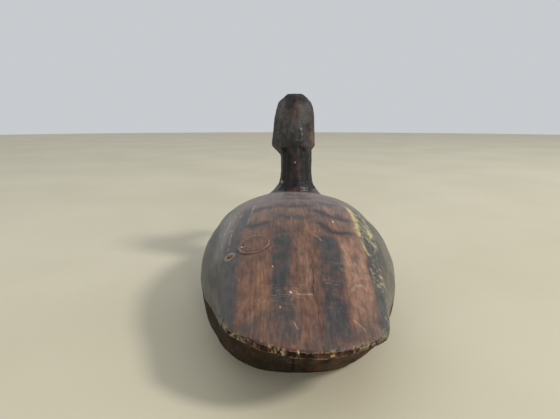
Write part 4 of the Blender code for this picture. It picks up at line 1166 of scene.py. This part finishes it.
def carved_head(points, normals):
    """Head points after the small knife marks, the bill's details and dents."""
    x, y, z = points.T
    straight_x, straight_y, _ = head_turn(points, -HEAD_TURN).T
    facets = np.abs(noise(points, (9, 11, 15), 71)) + 0.5 * np.abs(noise(points, (5, 6, 8), 72))
    chatter = noise(points, (2.2, 2.2, 1.5), 73, 2) * (1 + 1.2 * smooth(152, 138, z))
    on_head = smooth(-134, -124, straight_y)
    push = -0.55 * facets * on_head - 0.22 * facets * (1 - on_head) + 0.10 * chatter
    wave = 0.12 * np.sin((z + 2.5 * noise(points, (3, 8, 8), 74)) / 0.9)
    push += wave * (bell(x + 7.5, 4.0) * smooth(-70, -62, y) * between(z, 138, 150, 168, 178))

    mandible = np.interp(-straight_y, (128, 150, 178, 190), (146.5, 139.0, 129.6, 127.4))
    side = smooth(0.25, 0.6, np.abs(normals[:, 0])) * smooth(-127, -134, straight_y)
    push -= 0.8 * bell(z - mandible, 0.75) * side
    cere = np.interp(z, (130, 150, 170, 185), (-136, -133, -131, -128))
    push -= 0.55 * bell(straight_y - cere, 0.9) * between(z, 134, 142, 176, 188)
    nostril = np.hypot((straight_y + 151) / 4.2, (z - 151.8) / 1.4)
    for sign in (1, -1):
        push -= 1.3 * smooth(1.0, 0.3, nostril) * (straight_x * sign > 4)
    tip = smooth(-181, -184, straight_y) * (z > mandible)
    push -= 0.35 * bell(np.abs(np.abs(straight_x) - 5.0), 0.7) * tip

    notch = np.hypot((y + 65) / 3.0, (z - 165.6) / 0.9)
    push -= 1.2 * smooth(1.0, 0.2, notch) * (x > 14)
    push -= 0.9 * smooth(2.4, 0.6, distance_to(x, z, NECK_CHIP_XZ)) * (y > -75)
    push += 0.5 * bell(np.hypot((x - 3.5) / 4.5, (z - 156) / 3.0), 1) * (y > -66)
    return inside_cad(points + normals * (push * smooth(100.6, 103.0, z))[:, None])


def eye_frame(side):
    """Where an eye sits, and its outward direction, as the frame has them."""
    name = "eye_left" if side > 0 else "eye_right"
    low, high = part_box(name)
    centre = (low + high) / 2 / MM
    outward = Matrix.Rotation(HEAD_TURN, 3, "Z") @ Vector((side, -0.16, 0.10)).normalized()
    reach = max((Vector(v.co) / MM - centre).dot(outward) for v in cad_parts[name].data.vertices)
    return centre + outward * (reach - EYE_RISE), outward


def make_head():
    head = head_blank()
    boolean(head, neck_blank(), "UNION")
    remeshed(head, *(((0.72, 22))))
    set_points(head.data, carved_head(*get_surface(head.data)))
    bm = in_millimetres(head.data)
    cut_plane(bm, (0, 0, NECK_SEAT_Z + 0.2), (0, 0, -1), 1)
    bmesh.ops.scale(bm, verts=bm.verts, vec=(MM,) * 3)
    bm.to_mesh(head.data)
    bm.free()
    head.data.materials.clear()
    set_materials(head, None, None)
    bores = [
        cylinder(DOWEL_RADIUS, 95, 133, 32, *DOWEL_XY),
        cylinder(NECK_SCREW_RADIUS, 95, 125, 24, *NECK_SCREW_XY),
        set_along(cylinder(0.75, -5, 6, 16), (-1.5, -62.0, 129.3), (0.05, 1, 0.1)),
    ]
    bores += [set_along(cylinder(EYE_SOCKET, -2.7, 9, 48), *eye_frame(side)) for side in (1, -1)]
    boolean(head, cutter(merged(*bores), "head_bores"))
    deep = [set_along(cylinder(EYE_BORE, -4.8, 4, 40), *eye_frame(side)) for side in (1, -1)]
    boolean(head, cutter(merged(*deep), "eye_sockets"))
    paint_head(head)
    piece(head, "head", slot="head_paint", materials=(HEAD_PAINT, INNER_WOOD), degrees=55)


def paint_head(head):
    points = get_points(head.data)
    x, y, z = points.T
    ridge = np.clip(edge_wear(head.data, 8) / 0.018, -1, 1)
    broad, mid = noise(points, (16, 16, 24), 81, 3), noise(points, (5, 5, 9), 82, 3)
    fine = noise(points, 1.7, 83, 2)
    paint = np.tile((0.007, 0.006, 0.006), (len(x), 1))
    paint = mix(paint, (0.042, 0.040, 0.039), 0.45 + 1.1 * broad + 0.4 * mid)
    # the neck and the head's lower part are much darker: their dark paint, deepened by painted shade under
    # the head
    paint *= (1 - 0.82 * smooth(148, 138, z))[:, None]
    worn = smooth(0.55, 1.30, 0.45 * ridge + 0.9 * mid + 0.4 * fine)
    at_back = smooth(-72, -62, y)
    centre, crown = bell(x + 3.5, 5) * at_back, bell(x + 4.5, 6.5) * at_back * smooth(172, 184, z)
    right_edge = smooth(-15.5, -19.5, x) * between(z, 143, 150, 172, 182) * smooth(-84, -70, y)
    # painted sheen: pale grey on the head's left facets, a reflection of the room
    left_sheen = smooth(12, 16, x) * smooth(-80, -68, y)
    specks = smooth(0.56, 0.78, fine) * (0.7 * smooth(106, 102, z) * (y > -78) + 0.12 * smooth(150, 140, z))
    chip = smooth(2.4, 0.9, distance_to(x, z, NECK_CHIP_XZ)) * (y > -75)
    hole = smooth(1.1, 0.5, np.hypot(x + 1.5, z - 130.9)) * (y > -66)
    bill = smooth(-131, -135, y)
    for colour, share in (
        ((0.075, 0.042, 0.027), 0.6 * worn),
        ((0.105, 0.062, 0.042), 0.62 * crown * smooth(-0.6, 0.3, mid)),
        ((0.075, 0.036, 0.020), 0.6 * centre * smooth(150, 136, z) * smooth(-0.2, 0.5, mid)),
        ((0.095, 0.040, 0.020), 0.5 * centre * smooth(121, 112, z) * smooth(-0.2, 0.5, mid)),
        ((0.13, 0.075, 0.048), 0.65 * right_edge * smooth(-0.7, 0.3, mid)),
        ((0.075, 0.072, 0.068), 0.5 * left_sheen * smooth(-0.4, 0.4, broad + 0.3)),
        ((0.55, 0.47, 0.36), 0.8 * specks),
        ((0.42, 0.33, 0.22), chip),
        ((0.45, 0.40, 0.33), 0.8 * hole),
        ((0.060, 0.058, 0.040), 0.7 * bill * smooth(-0.7, 0.2, broad + 0.4)),
    ):
        paint = mix(paint, colour, share)
    set_colours(head, "paint", paint)
    set_values(head, "bare", np.clip(0.5 * worn + chip, 0, 1))
    strip = bell(x + 8.4, 4.2) * at_back * between(z, 138, 146, 172, 184)
    base = smooth(106, 102, z) * smooth(-0.3, 0.4, fine)
    neck = smooth(150, 140, z) * smooth(4, -4, x) * smooth(0.0, 0.4, fine)
    set_values(head, "gloss", np.clip(strip + 0.8 * base + 0.6 * bill + 0.6 * neck, 0, 1))


def make_eyes():
    """Domed glass eyes, each in a smeared ring of putty."""
    profile = ((5.25, -2.3), (5.25, 0.5), (5.6, 0.95), (6.2, 1.0), (6.8, 0.6), (7.1, 0.15), (7.1, -2.3))
    for side, name in ((1, "left"), (-1, "right")):
        point, outward = eye_frame(side)
        tilts = [math.pi / 2 * k / 14 for k in range(1, 15)]
        dome = [(0, EYE_RISE)] + [(EYE_RADIUS * math.sin(t), EYE_RISE * math.cos(t)) for t in tilts]
        eye = lathe(dome + [(EYE_RADIUS, -3.5), (4.2, -4.4), (0, -4.4)], 64, f"glass_eye_{name}")
        set_values(eye, "iris", np.hypot(*get_points(eye.data)[:, :2].T))
        piece(place(eye, point, outward), f"eye_{name}", slot="eye_glass", materials=(EYE_GLASS,), degrees=60)
        count, width = 96, len(profile)
        points = [(r * x, r * y, z) for x, y in circle(1, count) for r, z in profile]
        faces = []
        for i in range(count):
            faces += ring_faces(i * width, ((i + 1) % count) * width, width)
        putty = mesh_object(points, faces, f"eye_putty_smear_{name}")
        points = get_points(putty.data)
        points[:, 2] += np.where(points[:, 2] > 0.3, 0.35 * noise(points, 1.8, 91 + side, 2), 0)
        set_points(putty.data, points)
        piece(place(putty, point, outward), f"eye_putty_{name}", slot="eye_putty", materials=(PUTTY,))


# ---- Underside fittings ---------------------------------------------------------------------------
def make_weight():
    """The cast lead pad, with hammer marks and countersinks for its slotted screws."""
    pad = bm_object(rounded_block(*WEIGHT_HALF, WEIGHT_CORNER, 0.35, 8.5), "cast_ballast_weight")
    remeshed(pad, 0.8, 3)
    points, normals = get_surface(pad.data)
    dents = 0.22 * np.abs(noise(points, 8, 101)) + 0.07 * noise(points, 2.5, 102, 2)
    points -= normals * (dents + 0.05)[:, None]
    points[:, 2] = np.maximum(points[:, 2], 0.3)
    set_points(pad.data, points)
    set_materials(pad, LEAD, LEAD)
    boolean(pad, cutter(merged(*[cylinder(1.95, -1, 10, 20, *p) for p in WEIGHT_SCREWS]), "weight_bores"))
    cones = [cylinder(4.5, -1, 2.6, 32, *p, top_radius=1.7) for p in WEIGHT_SCREWS]
    boolean(pad, cutter(merged(*cones), "weight_sinks"))
    piece(pad, "ballast_weight", slot="lead", degrees=45)


def threaded_screw(name, shank, head, head_height, length, slot_turn, countersunk):
    """A slotted wood screw, point up, with a rolled thread on the upper two thirds of its shank."""
    pitch = shank * 1.1
    if countersunk:
        low, heads = 0.0, [(shank, head_height), (head, 0.25), (head, 0.0), (0, 0.0)]
    else:
        low, heads = -head_height, [(shank, 0.0), (head, -0.3), (head, -head_height * 0.5)]
        heads += [(head * 0.75, low), (0, low)]
    neck = heads[0][1]
    profile = [(0.0, length), (0.25, length - 0.4)]
    steps = 90
    for k in range(steps + 1):
        z = length - 0.8 - (length - 0.8 - neck - 0.3) * k / steps
        taper = min(1.0, (length - z) / (4.0 * shank) + 0.15)
        threaded = 0.22 * shank * (1 if z > neck + 0.35 * (length - neck) else 0)
        profile.append((shank * taper - threaded * (0.5 + 0.5 * math.cos(2 * math.pi * z / pitch)), z))
    obj = lathe(profile + heads, 24, name)
    slot = bmesh.new()
    bmesh.ops.create_cube(slot, size=1.0)
    bmesh.ops.scale(slot, verts=slot.verts, vec=(head * 3, 0.8, 1.4))
    bmesh.ops.rotate(slot, verts=slot.verts, matrix=Matrix.Rotation(slot_turn, 3, "Z"))
    bmesh.ops.translate(slot, verts=slot.verts, vec=(0, 0, low))
    set_materials(obj, STEEL, STEEL)
    boolean(obj, cutter(slot, "slot"))
    return obj


def make_screws():
    for number, (x, y) in enumerate(WEIGHT_SCREWS, 1):
        screw = threaded_screw(f"weight_screw_slotted_{number}", 1.6, 3.1, 1.6, 15.2, 0.4 + number, True)
        piece(place(screw, (x, y, 0.6)), f"weight_screw_{number}", slot="screw_steel", degrees=35)
    for number, (x, y) in enumerate(BODY_SCREWS, 1):
        screw = threaded_screw(f"body_screw_slotted_{number}", 2.0, 4.0, 2.6, 51.0, 0.7 * number, False)
        piece(place(screw, (x, y, 8.7)), f"body_screw_{number}", slot="screw_steel", degrees=35)
        plug = lathe(SCREW_PLUG, 48, f"turned_screw_plug_{number}")
        place(plug, (x, y, 0))
        piece(plug, f"screw_plug_{number}", slot="bare_wood", materials=(PLUG_WOOD,), degrees=40)
    low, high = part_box("neck_screw")
    length = (high.z - low.z) / MM - 3.0
    screw = threaded_screw("neck_screw_slotted", 2.3, 4.6, 3.0, length, 0.5, False)
    piece(place(screw, (*NECK_SCREW_XY, low.z / MM + 3.0)), "neck_screw", slot="screw_steel", degrees=35)


def line_eye_middle():
    low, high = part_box("line_eye")
    return Vector((0, (low.y / MM) + 6.3, (low.z + high.z) / 2 / MM))


def make_line_tie():
    """The screw eye, bent from wire, and the welded ring that hangs in it."""
    middle = line_eye_middle()
    turns = [math.radians(14 + 332 * k / 48) for k in range(49)]
    loop = [middle + LINE_EYE_RADIUS * Vector((0, math.cos(turn), math.sin(turn))) for turn in turns]
    end = middle + Vector((0, LINE_EYE_RADIUS, 0))
    path = loop[::-1]
    path += [end + Vector((0, k / 8 * 4.5, (1 - k / 8) ** 2 * 1.1)) for k in range(1, 9)]
    path += [end + Vector((0, 4.5 + 23.7 * k / 59, 0)) for k in range(1, 60)]
    radii = []
    for p in path:
        along = p.y - end.y
        thread = 0.22 * (0.5 + 0.5 * math.cos(2 * math.pi * along / 1.9)) * smooth(6.0, 8.0, along)
        radii.append(max(0.2, (LINE_EYE_WIRE - thread) * (1.0 - 0.75 * smooth(22, 28.2, along))))
    tube(path, radii, 20, "forged_line_eye", "line_eye", "decoy")
    low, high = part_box("line_ring")
    centre = (low + high) / 2 / MM
    turns = np.linspace(0, 2 * math.pi, 97)[:-1]
    path = [centre + Vector((RING_RADIUS * math.sin(t), 0, RING_RADIUS * math.cos(t))) for t in turns]
    weld = [RING_WIRE + 0.05 * math.exp(-(((k - 70) / 2.5) ** 2)) for k in range(96)]
    tube(path, weld, 18, "welded_line_ring", "line_ring", "anchor_ring", closed=True)


def tube(path, radii, count, name, node, body, closed=False):
    """A round bar along a path, as one closed mesh with its ends capped."""
    total = len(path)
    verts, faces = [], []
    normal = None
    for i, (p, radius) in enumerate(zip(path, radii)):
        ahead = path[(i + 1) % total] if closed or i + 1 < total else p
        behind = path[i - 1] if closed or i > 0 else p
        tangent = (ahead - behind).normalized()
        if normal is None:
            normal = Vector((1, 0, 0)) if abs(tangent.x) < 0.8 else Vector((0, 1, 0))
        normal = (normal - tangent * normal.dot(tangent)).normalized()
        side = tangent.cross(normal)
        verts += [p + (normal * across + side * up) * radius for across, up in circle(1, count)]
    for i in range(total if closed else total - 1):
        faces += ring_faces(i * count, ((i + 1) % total) * count, count, flipped=True)
    if not closed:
        faces.append(tuple(range(count)))
        faces.append(tuple(reversed(range((total - 1) * count, total * count))))
    obj = mesh_object([tuple(v) for v in verts], faces, name)
    face_outward(obj.data)
    points, normals = get_surface(obj.data)
    set_points(obj.data, points - normals * (0.05 + 0.05 * noise(points, 1.2, 111, 2))[:, None])
    piece(obj, node, body=body, slot="rusty_iron", materials=(RUST,))


# ---- Materials ----------------------------------------------------------------------------------
# Where a mix node keeps its two colours and its result
MIX_COLOUR_A, MIX_COLOUR_B, MIX_COLOUR = 6, 7, 2


class Nodes:
    """Short names for making a material's nodes."""

    def __init__(self, name):
        self.material = bpy.data.materials.new(name)
        self.material.use_nodes = True
        self.tree = self.material.node_tree
        self.shader = self.tree.nodes["Principled BSDF"]
        self.place = self.node("ShaderNodeTexCoord").outputs["Object"]

    def node(self, kind, values=None, **settings):
        """A new node with its inputs' values or links, and its settings."""
        made = self.tree.nodes.new(kind)
        for key, value in settings.items():
            setattr(made, key, value)
        for key, value in (values or {}).items():
            self.link(value, made.inputs[key])
        return made

    def link(self, value, socket):
        if isinstance(value, bpy.types.NodeSocket):
            self.tree.links.new(value, socket)
        else:
            socket.default_value = value

    def math(self, operation, a, b=0.0, clamp=False):
        return self.node("ShaderNodeMath", {0: a, 1: b}, operation=operation, use_clamp=clamp).outputs[0]

    def mapped(self, scale, turn=(0, 0, 0)):
        """Places in lumps per metre: one number, or one for each axis."""
        scale = scale if isinstance(scale, tuple) else (scale,) * 3
        values = {"Vector": self.place, "Scale": scale, "Rotation": turn}
        return self.node("ShaderNodeMapping", values).outputs[0]

    def noise(self, scale, detail=3.0, rough=0.5, distortion=0.0, turn=(0, 0, 0)):
        values = {"Vector": self.mapped(scale, turn), "Scale": 1.0, "Detail": detail}
        values |= {"Roughness": rough, "Distortion": distortion}
        return self.node("ShaderNodeTexNoise", values).outputs["Fac"]

    def cells(self, scale, feature="F1", turn=(0, 0, 0)):
        values = {"Vector": self.mapped(scale, turn), "Scale": 1.0}
        return self.node("ShaderNodeTexVoronoi", values, feature=feature).outputs["Distance"]

    def span(self, value, low, high, out_low=0.0, out_high=1.0):
        values = {"Value": value, "From Min": low, "From Max": high, "To Min": out_low, "To Max": out_high}
        return self.node("ShaderNodeMapRange", values, interpolation_type="SMOOTHSTEP").outputs[0]

    def mix(self, share, a, b, blend="MIX"):
        first, second = ((*value, 1.0) if isinstance(value, tuple) else value for value in (a, b))
        values = {"Factor": share, MIX_COLOUR_A: first, MIX_COLOUR_B: second}
        return self.node("ShaderNodeMix", values, data_type="RGBA", blend_type=blend).outputs[MIX_COLOUR]

    def cover(self, colour, mask, share, other):
        """colour, with a share of other where the mask is."""
        return self.mix(self.math("MULTIPLY", mask, share), colour, other)

    def mottle(self, colour, pattern, limits, dark, light):
        """colour, darkened and lightened by a pattern."""
        return self.mix(1.0, colour, self.mix(self.span(pattern, *limits), dark, light), "MULTIPLY")

    def plus(self, value, other, share, clamp=False):
        return self.math("ADD", value, self.math("MULTIPLY", other, share), clamp)

    def attribute(self, name, output="Fac"):
        return self.node("ShaderNodeAttribute", attribute_name=name).outputs[output]

    def bump(self, height, distance, strength):
        values = {"Height": height, "Distance": distance, "Strength": strength}
        return self.node("ShaderNodeBump", values).outputs[0]

    def finish(self, colour, roughness, normal=None, metallic=0.0, **constants):
        self.link(colour, self.shader.inputs["Base Color"])
        self.link(roughness, self.shader.inputs["Roughness"])
        self.link(metallic, self.shader.inputs["Metallic"])
        if normal is not None:
            self.link(normal, self.shader.inputs["Normal"])
        for key, value in constants.items():
            self.shader.inputs[key.replace("_", " ")].default_value = value
        return self.material


def body_paint_material(name, specular, coat):
    """Thin, worn oil paint with the wood's grain showing through, rubbed to a dull shine."""
    n = Nodes(name)
    paint, bare, ridge = n.attribute("paint", "Color"), n.attribute("bare"), n.attribute("ridge")
    grain = n.noise((760, 9, 260), 3, 0.55, 0.6)
    brush = n.noise((300, 12, 130), 3, 0.55, 0.8, (0, 0, 0.09))
    blotch = n.noise((210, 120, 120), 4, 0.65)
    dust = n.noise(2400, 2, 0.5)
    colour = n.mottle(paint, grain, (0.36, 0.62), (0.80, 0.78, 0.76), (1.13, 1.12, 1.10))
    colour = n.mottle(colour, brush, (0.34, 0.66), (0.84, 0.84, 0.85), (1.14, 1.13, 1.10))
    colour = n.mottle(colour, blotch, (0.35, 0.65), (0.74, 0.74, 0.77), (1.24, 1.21, 1.18))
    rubbed = n.span(n.plus(ridge, blotch, 0.8), 0.75, 1.35)
    colour = n.cover(colour, rubbed, 0.35, (0.34, 0.22, 0.13))
    pores = n.span(grain, 0.70, 0.78)
    colour = n.cover(colour, pores, 0.5, (0.30, 0.24, 0.18))
    flecks = n.span(n.cells(420), 0.10, 0.05)
    flecks = n.math("MULTIPLY", flecks, n.span(n.noise(90, 2), 0.56, 0.66))
    colour = n.cover(colour, flecks, 0.75, (0.60, 0.53, 0.44))
    hair = n.span(n.cells((60, 900, 60), "DISTANCE_TO_EDGE", (0, 0, 0.5)), 0.030, 0.012)
    hair = n.math("MULTIPLY", hair, n.span(n.noise(30, 2), 0.58, 0.68))
    colour = n.cover(colour, hair, 0.30, (0.42, 0.34, 0.27))
    rough = n.plus(n.span(blotch, 0.3, 0.7, 0.44, 0.60), bare, 0.25)
    rough = n.math("ADD", rough, n.span(dust, 0.3, 0.7, -0.04, 0.05), True)
    height = n.plus(n.math("MULTIPLY", grain, 0.6), blotch, 0.5)
    height = n.plus(height, dust, 0.10)
    shine = {"Coat_Weight": coat, "Coat_Roughness": 0.36, "Sheen_Weight": 2 * coat, "Sheen_Roughness": 0.55}
    return n.finish(colour, rough, n.bump(height, 0.00035, 0.75), Specular_IOR_Level=specular, **shine)


def head_paint_material():
    """Thick dark varnish over knife cuts."""
    n = Nodes("dark_head_varnish")
    paint, bare = n.attribute("paint", "Color"), n.attribute("bare")
    blotch = n.noise((220, 220, 140), 4, 0.6)
    fine = n.noise((1100, 1100, 500), 3, 0.6)
    drips = n.noise((700, 700, 90), 3, 0.5)
    colour = n.mottle(paint, blotch, (0.35, 0.65), (0.62, 0.62, 0.64), (1.45, 1.38, 1.30))
    colour = n.mottle(colour, fine, (0.35, 0.65), (0.80, 0.80, 0.80), (1.22, 1.20, 1.18))
    specks = n.math("MULTIPLY", n.span(n.cells(700), 0.11, 0.05), n.span(blotch, 0.56, 0.64))
    colour = n.cover(colour, specks, 0.45, (0.42, 0.36, 0.30))
    rough = n.plus(n.span(blotch, 0.3, 0.7, 0.50, 0.64), bare, 0.2, True)
    rough = n.math("SUBTRACT", rough, n.math("MULTIPLY", n.attribute("gloss"), 0.33), True)
    height = n.plus(n.math("MULTIPLY", blotch, 0.9), fine, 0.35)
    height = n.plus(height, drips, 0.3)
    normal = n.bump(height, 0.0005, 0.9)
    return n.finish(colour, rough, normal, Specular_IOR_Level=0.34)


def raw_wood_material(name, light, dark, across=(700, 30, 700)):
    """Bare softwood with its growth lines."""
    n = Nodes(name)
    lines = n.noise(across, 4, 0.6, 0.6)
    blotch = n.noise((60, 40, 60), 3, 0.6)
    colour = n.mix(n.span(lines, 0.38, 0.62), dark, light)
    colour = n.mottle(colour, blotch, (0.3, 0.7), (0.7, 0.68, 0.64), (1.15, 1.12, 1.08))
    rough = n.span(lines, 0.3, 0.7, 0.62, 0.85)
    return n.finish(colour, rough, n.bump(lines, 0.0004, 0.7))


def lead_material():
    n = Nodes("dull_lead")
    blotch = n.noise(90, 5, 0.65)
    fine = n.noise(900, 3, 0.6)
    marks = n.span(n.cells((220, 900, 220), "DISTANCE_TO_EDGE", (0, 0, 0.6)), 0.03, 0.01)
    colour = n.mix(n.span(blotch, 0.35, 0.65), (0.11, 0.11, 0.115), (0.30, 0.30, 0.30))
    colour = n.cover(colour, marks, 0.4, (0.50, 0.50, 0.51))
    white = n.span(n.plus(blotch, fine, 0.4), 0.78, 0.90)
    colour = n.cover(colour, white, 0.7, (0.55, 0.54, 0.50))
    metal = n.span(blotch, 0.3, 0.7, 0.75, 0.35)
    rough = n.span(fine, 0.3, 0.7, 0.42, 0.68)
    return n.finish(colour, rough, n.bump(n.math("ADD", blotch, fine), 0.0003, 0.6), metal)


def iron_material(name, metal_colour, rust_colour, rust_from):
    n = Nodes(name)
    blotch = n.noise(350, 5, 0.65)
    fine = n.noise(2200, 3, 0.6)
    rust = n.span(n.plus(blotch, fine, 0.25), rust_from, rust_from + 0.14)
    rusty = n.mix(n.span(fine, 0.3, 0.7), tuple(0.45 * c for c in rust_colour), rust_colour)
    colour = n.mix(rust, metal_colour, rusty)
    metal = n.math("SUBTRACT", 0.95, n.math("MULTIPLY", rust, 0.9), True)
    rough = n.plus(0.38, rust, 0.45, True)
    return n.finish(colour, rough, n.bump(n.math("ADD", blotch, fine), 0.0002, 0.8), metal)


def putty_material():
    n = Nodes("painted_putty")
    blotch = n.noise(500, 4, 0.6)
    cracks = n.span(n.cells(450, "DISTANCE_TO_EDGE"), 0.05, 0.015)
    colour = n.mix(n.span(blotch, 0.35, 0.65), (0.016, 0.012, 0.010), (0.075, 0.052, 0.038))
    colour = n.cover(colour, cracks, 0.6, (0.008, 0.006, 0.005))
    height = n.math("SUBTRACT", blotch, n.math("MULTIPLY", cracks, 0.6))
    return n.finish(colour, n.span(blotch, 0.3, 0.7, 0.40, 0.65), n.bump(height, 0.0003, 0.8))


def eye_material():
    """Amber glass with a black pupil, the colour lying under a clear dome."""
    n = Nodes("amber_glass")
    radius = n.attribute("iris")
    streaks = n.noise(1500, 4, 0.7)
    iris = n.mix(n.span(streaks, 0.3, 0.7), (0.16, 0.050, 0.010), (0.42, 0.17, 0.035))
    colour = n.mix(n.span(radius, 2.15, 2.4), (0.004, 0.003, 0.003), iris)
    colour = n.mix(n.span(radius, 4.2, 4.9), colour, (0.02, 0.010, 0.006))
    dust = n.noise(600, 3, 0.6)
    return n.finish(colour, n.span(dust, 0.4, 0.75, 0.04, 0.18), Specular_IOR_Level=0.30)


def floor_material():
    n = Nodes("pale_floor")
    cloud = n.noise(3, 3, 0.5)
    colour = n.mix(n.span(cloud, 0.3, 0.7), (0.60, 0.55, 0.40), (0.65, 0.60, 0.45))
    return n.finish(colour, 0.6)


BODY_PAINT = body_paint_material("worn_body_paint", 0.30, 0.07)
BOTTOM_PAINT = body_paint_material("worn_bottom_paint", 0.03, 0.0)
HEAD_PAINT = head_paint_material()
INNER_WOOD = raw_wood_material("inner_wood", (0.36, 0.23, 0.12), (0.17, 0.095, 0.045))
PLUG_WOOD = raw_wood_material("plug_wood", (0.40, 0.26, 0.13), (0.16, 0.09, 0.045), (500, 500, 500))
DOWEL_WOOD = raw_wood_material("dowel_wood", (0.52, 0.37, 0.20), (0.30, 0.19, 0.10), (800, 800, 30))
LEAD = lead_material()
STEEL = iron_material("aged_steel", (0.30, 0.28, 0.26), (0.16, 0.065, 0.025), 0.62)
NAIL_IRON = iron_material("nail_iron", (0.26, 0.25, 0.24), (0.12, 0.055, 0.028), 0.50)
RUST = iron_material("rusted_iron", (0.12, 0.11, 0.10), (0.20, 0.075, 0.025), 0.44)
PUTTY = putty_material()
EYE_GLASS = eye_material()


def dress_plain_nodes():
    """The frame's own pieces whose shape is right get their material."""
    for name, material in (("neck_dowel", DOWEL_WOOD), ("neck_washer", STEEL)):
        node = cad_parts[name]
        node.data.materials.clear()
        node.data.materials.append(material)


# ---- Stage --------------------------------------------------------------------------------------
def make_stage():
    """A pale floor, an even sky, two lights and the camera behind the tail."""
    bm = bmesh.new()
    bmesh.ops.create_circle(bm, cap_ends=True, segments=96, radius=6000)
    floor = bm_object(bm, "floor")
    floor.location.z = -0.0002
    floor.data.materials.append(floor_material())

    world = bpy.data.worlds.new("soft_room")
    bpy.context.scene.world = world
    world.use_nodes = True
    background = world.node_tree.nodes["Background"]
    background.inputs["Color"].default_value = (0.93, 0.96, 1.0, 1.0)
    background.inputs["Strength"].default_value = 0.62

    def area(name, place, target, size, power, colour):
        light = bpy.data.lights.new(name, "AREA")
        light.shape, light.size, light.energy, light.color = "DISK", size, power, colour
        obj = bpy.data.objects.new(name, light)
        bpy.context.scene.collection.objects.link(obj)
        obj.location = place
        aim = Vector(target) - Vector(place)
        obj.rotation_euler = aim.to_track_quat("-Z", "Y").to_euler()

    area("key", (-2.85, 1.35, 2.75), (0, 0, 0.06), 0.75, 94.0, (1.0, 0.97, 0.92))
    area("front", (-1.25, 3.90, 0.75), (0, -0.05, 0.12), 0.50, 48.0, (1.0, 0.99, 0.97))

    lens = bpy.data.cameras.new("camera")
    lens.lens, lens.sensor_width = 27.0, 36.0
    camera = bpy.data.objects.new("camera", lens)
    bpy.context.scene.collection.objects.link(camera)
    camera.location = (0.015, 0.402, 0.1765)
    camera.rotation_euler = (math.radians(90 - 12), 0, math.pi)
    lens.clip_start = 0.01
    bpy.context.scene.camera = camera
    bpy.context.scene.view_settings.view_transform = "Standard"


make_body()
make_plug()
make_nail()
make_head()
make_eyes()
make_weight()
make_screws()
make_line_tie()
dress_plain_nodes()
make_stage()
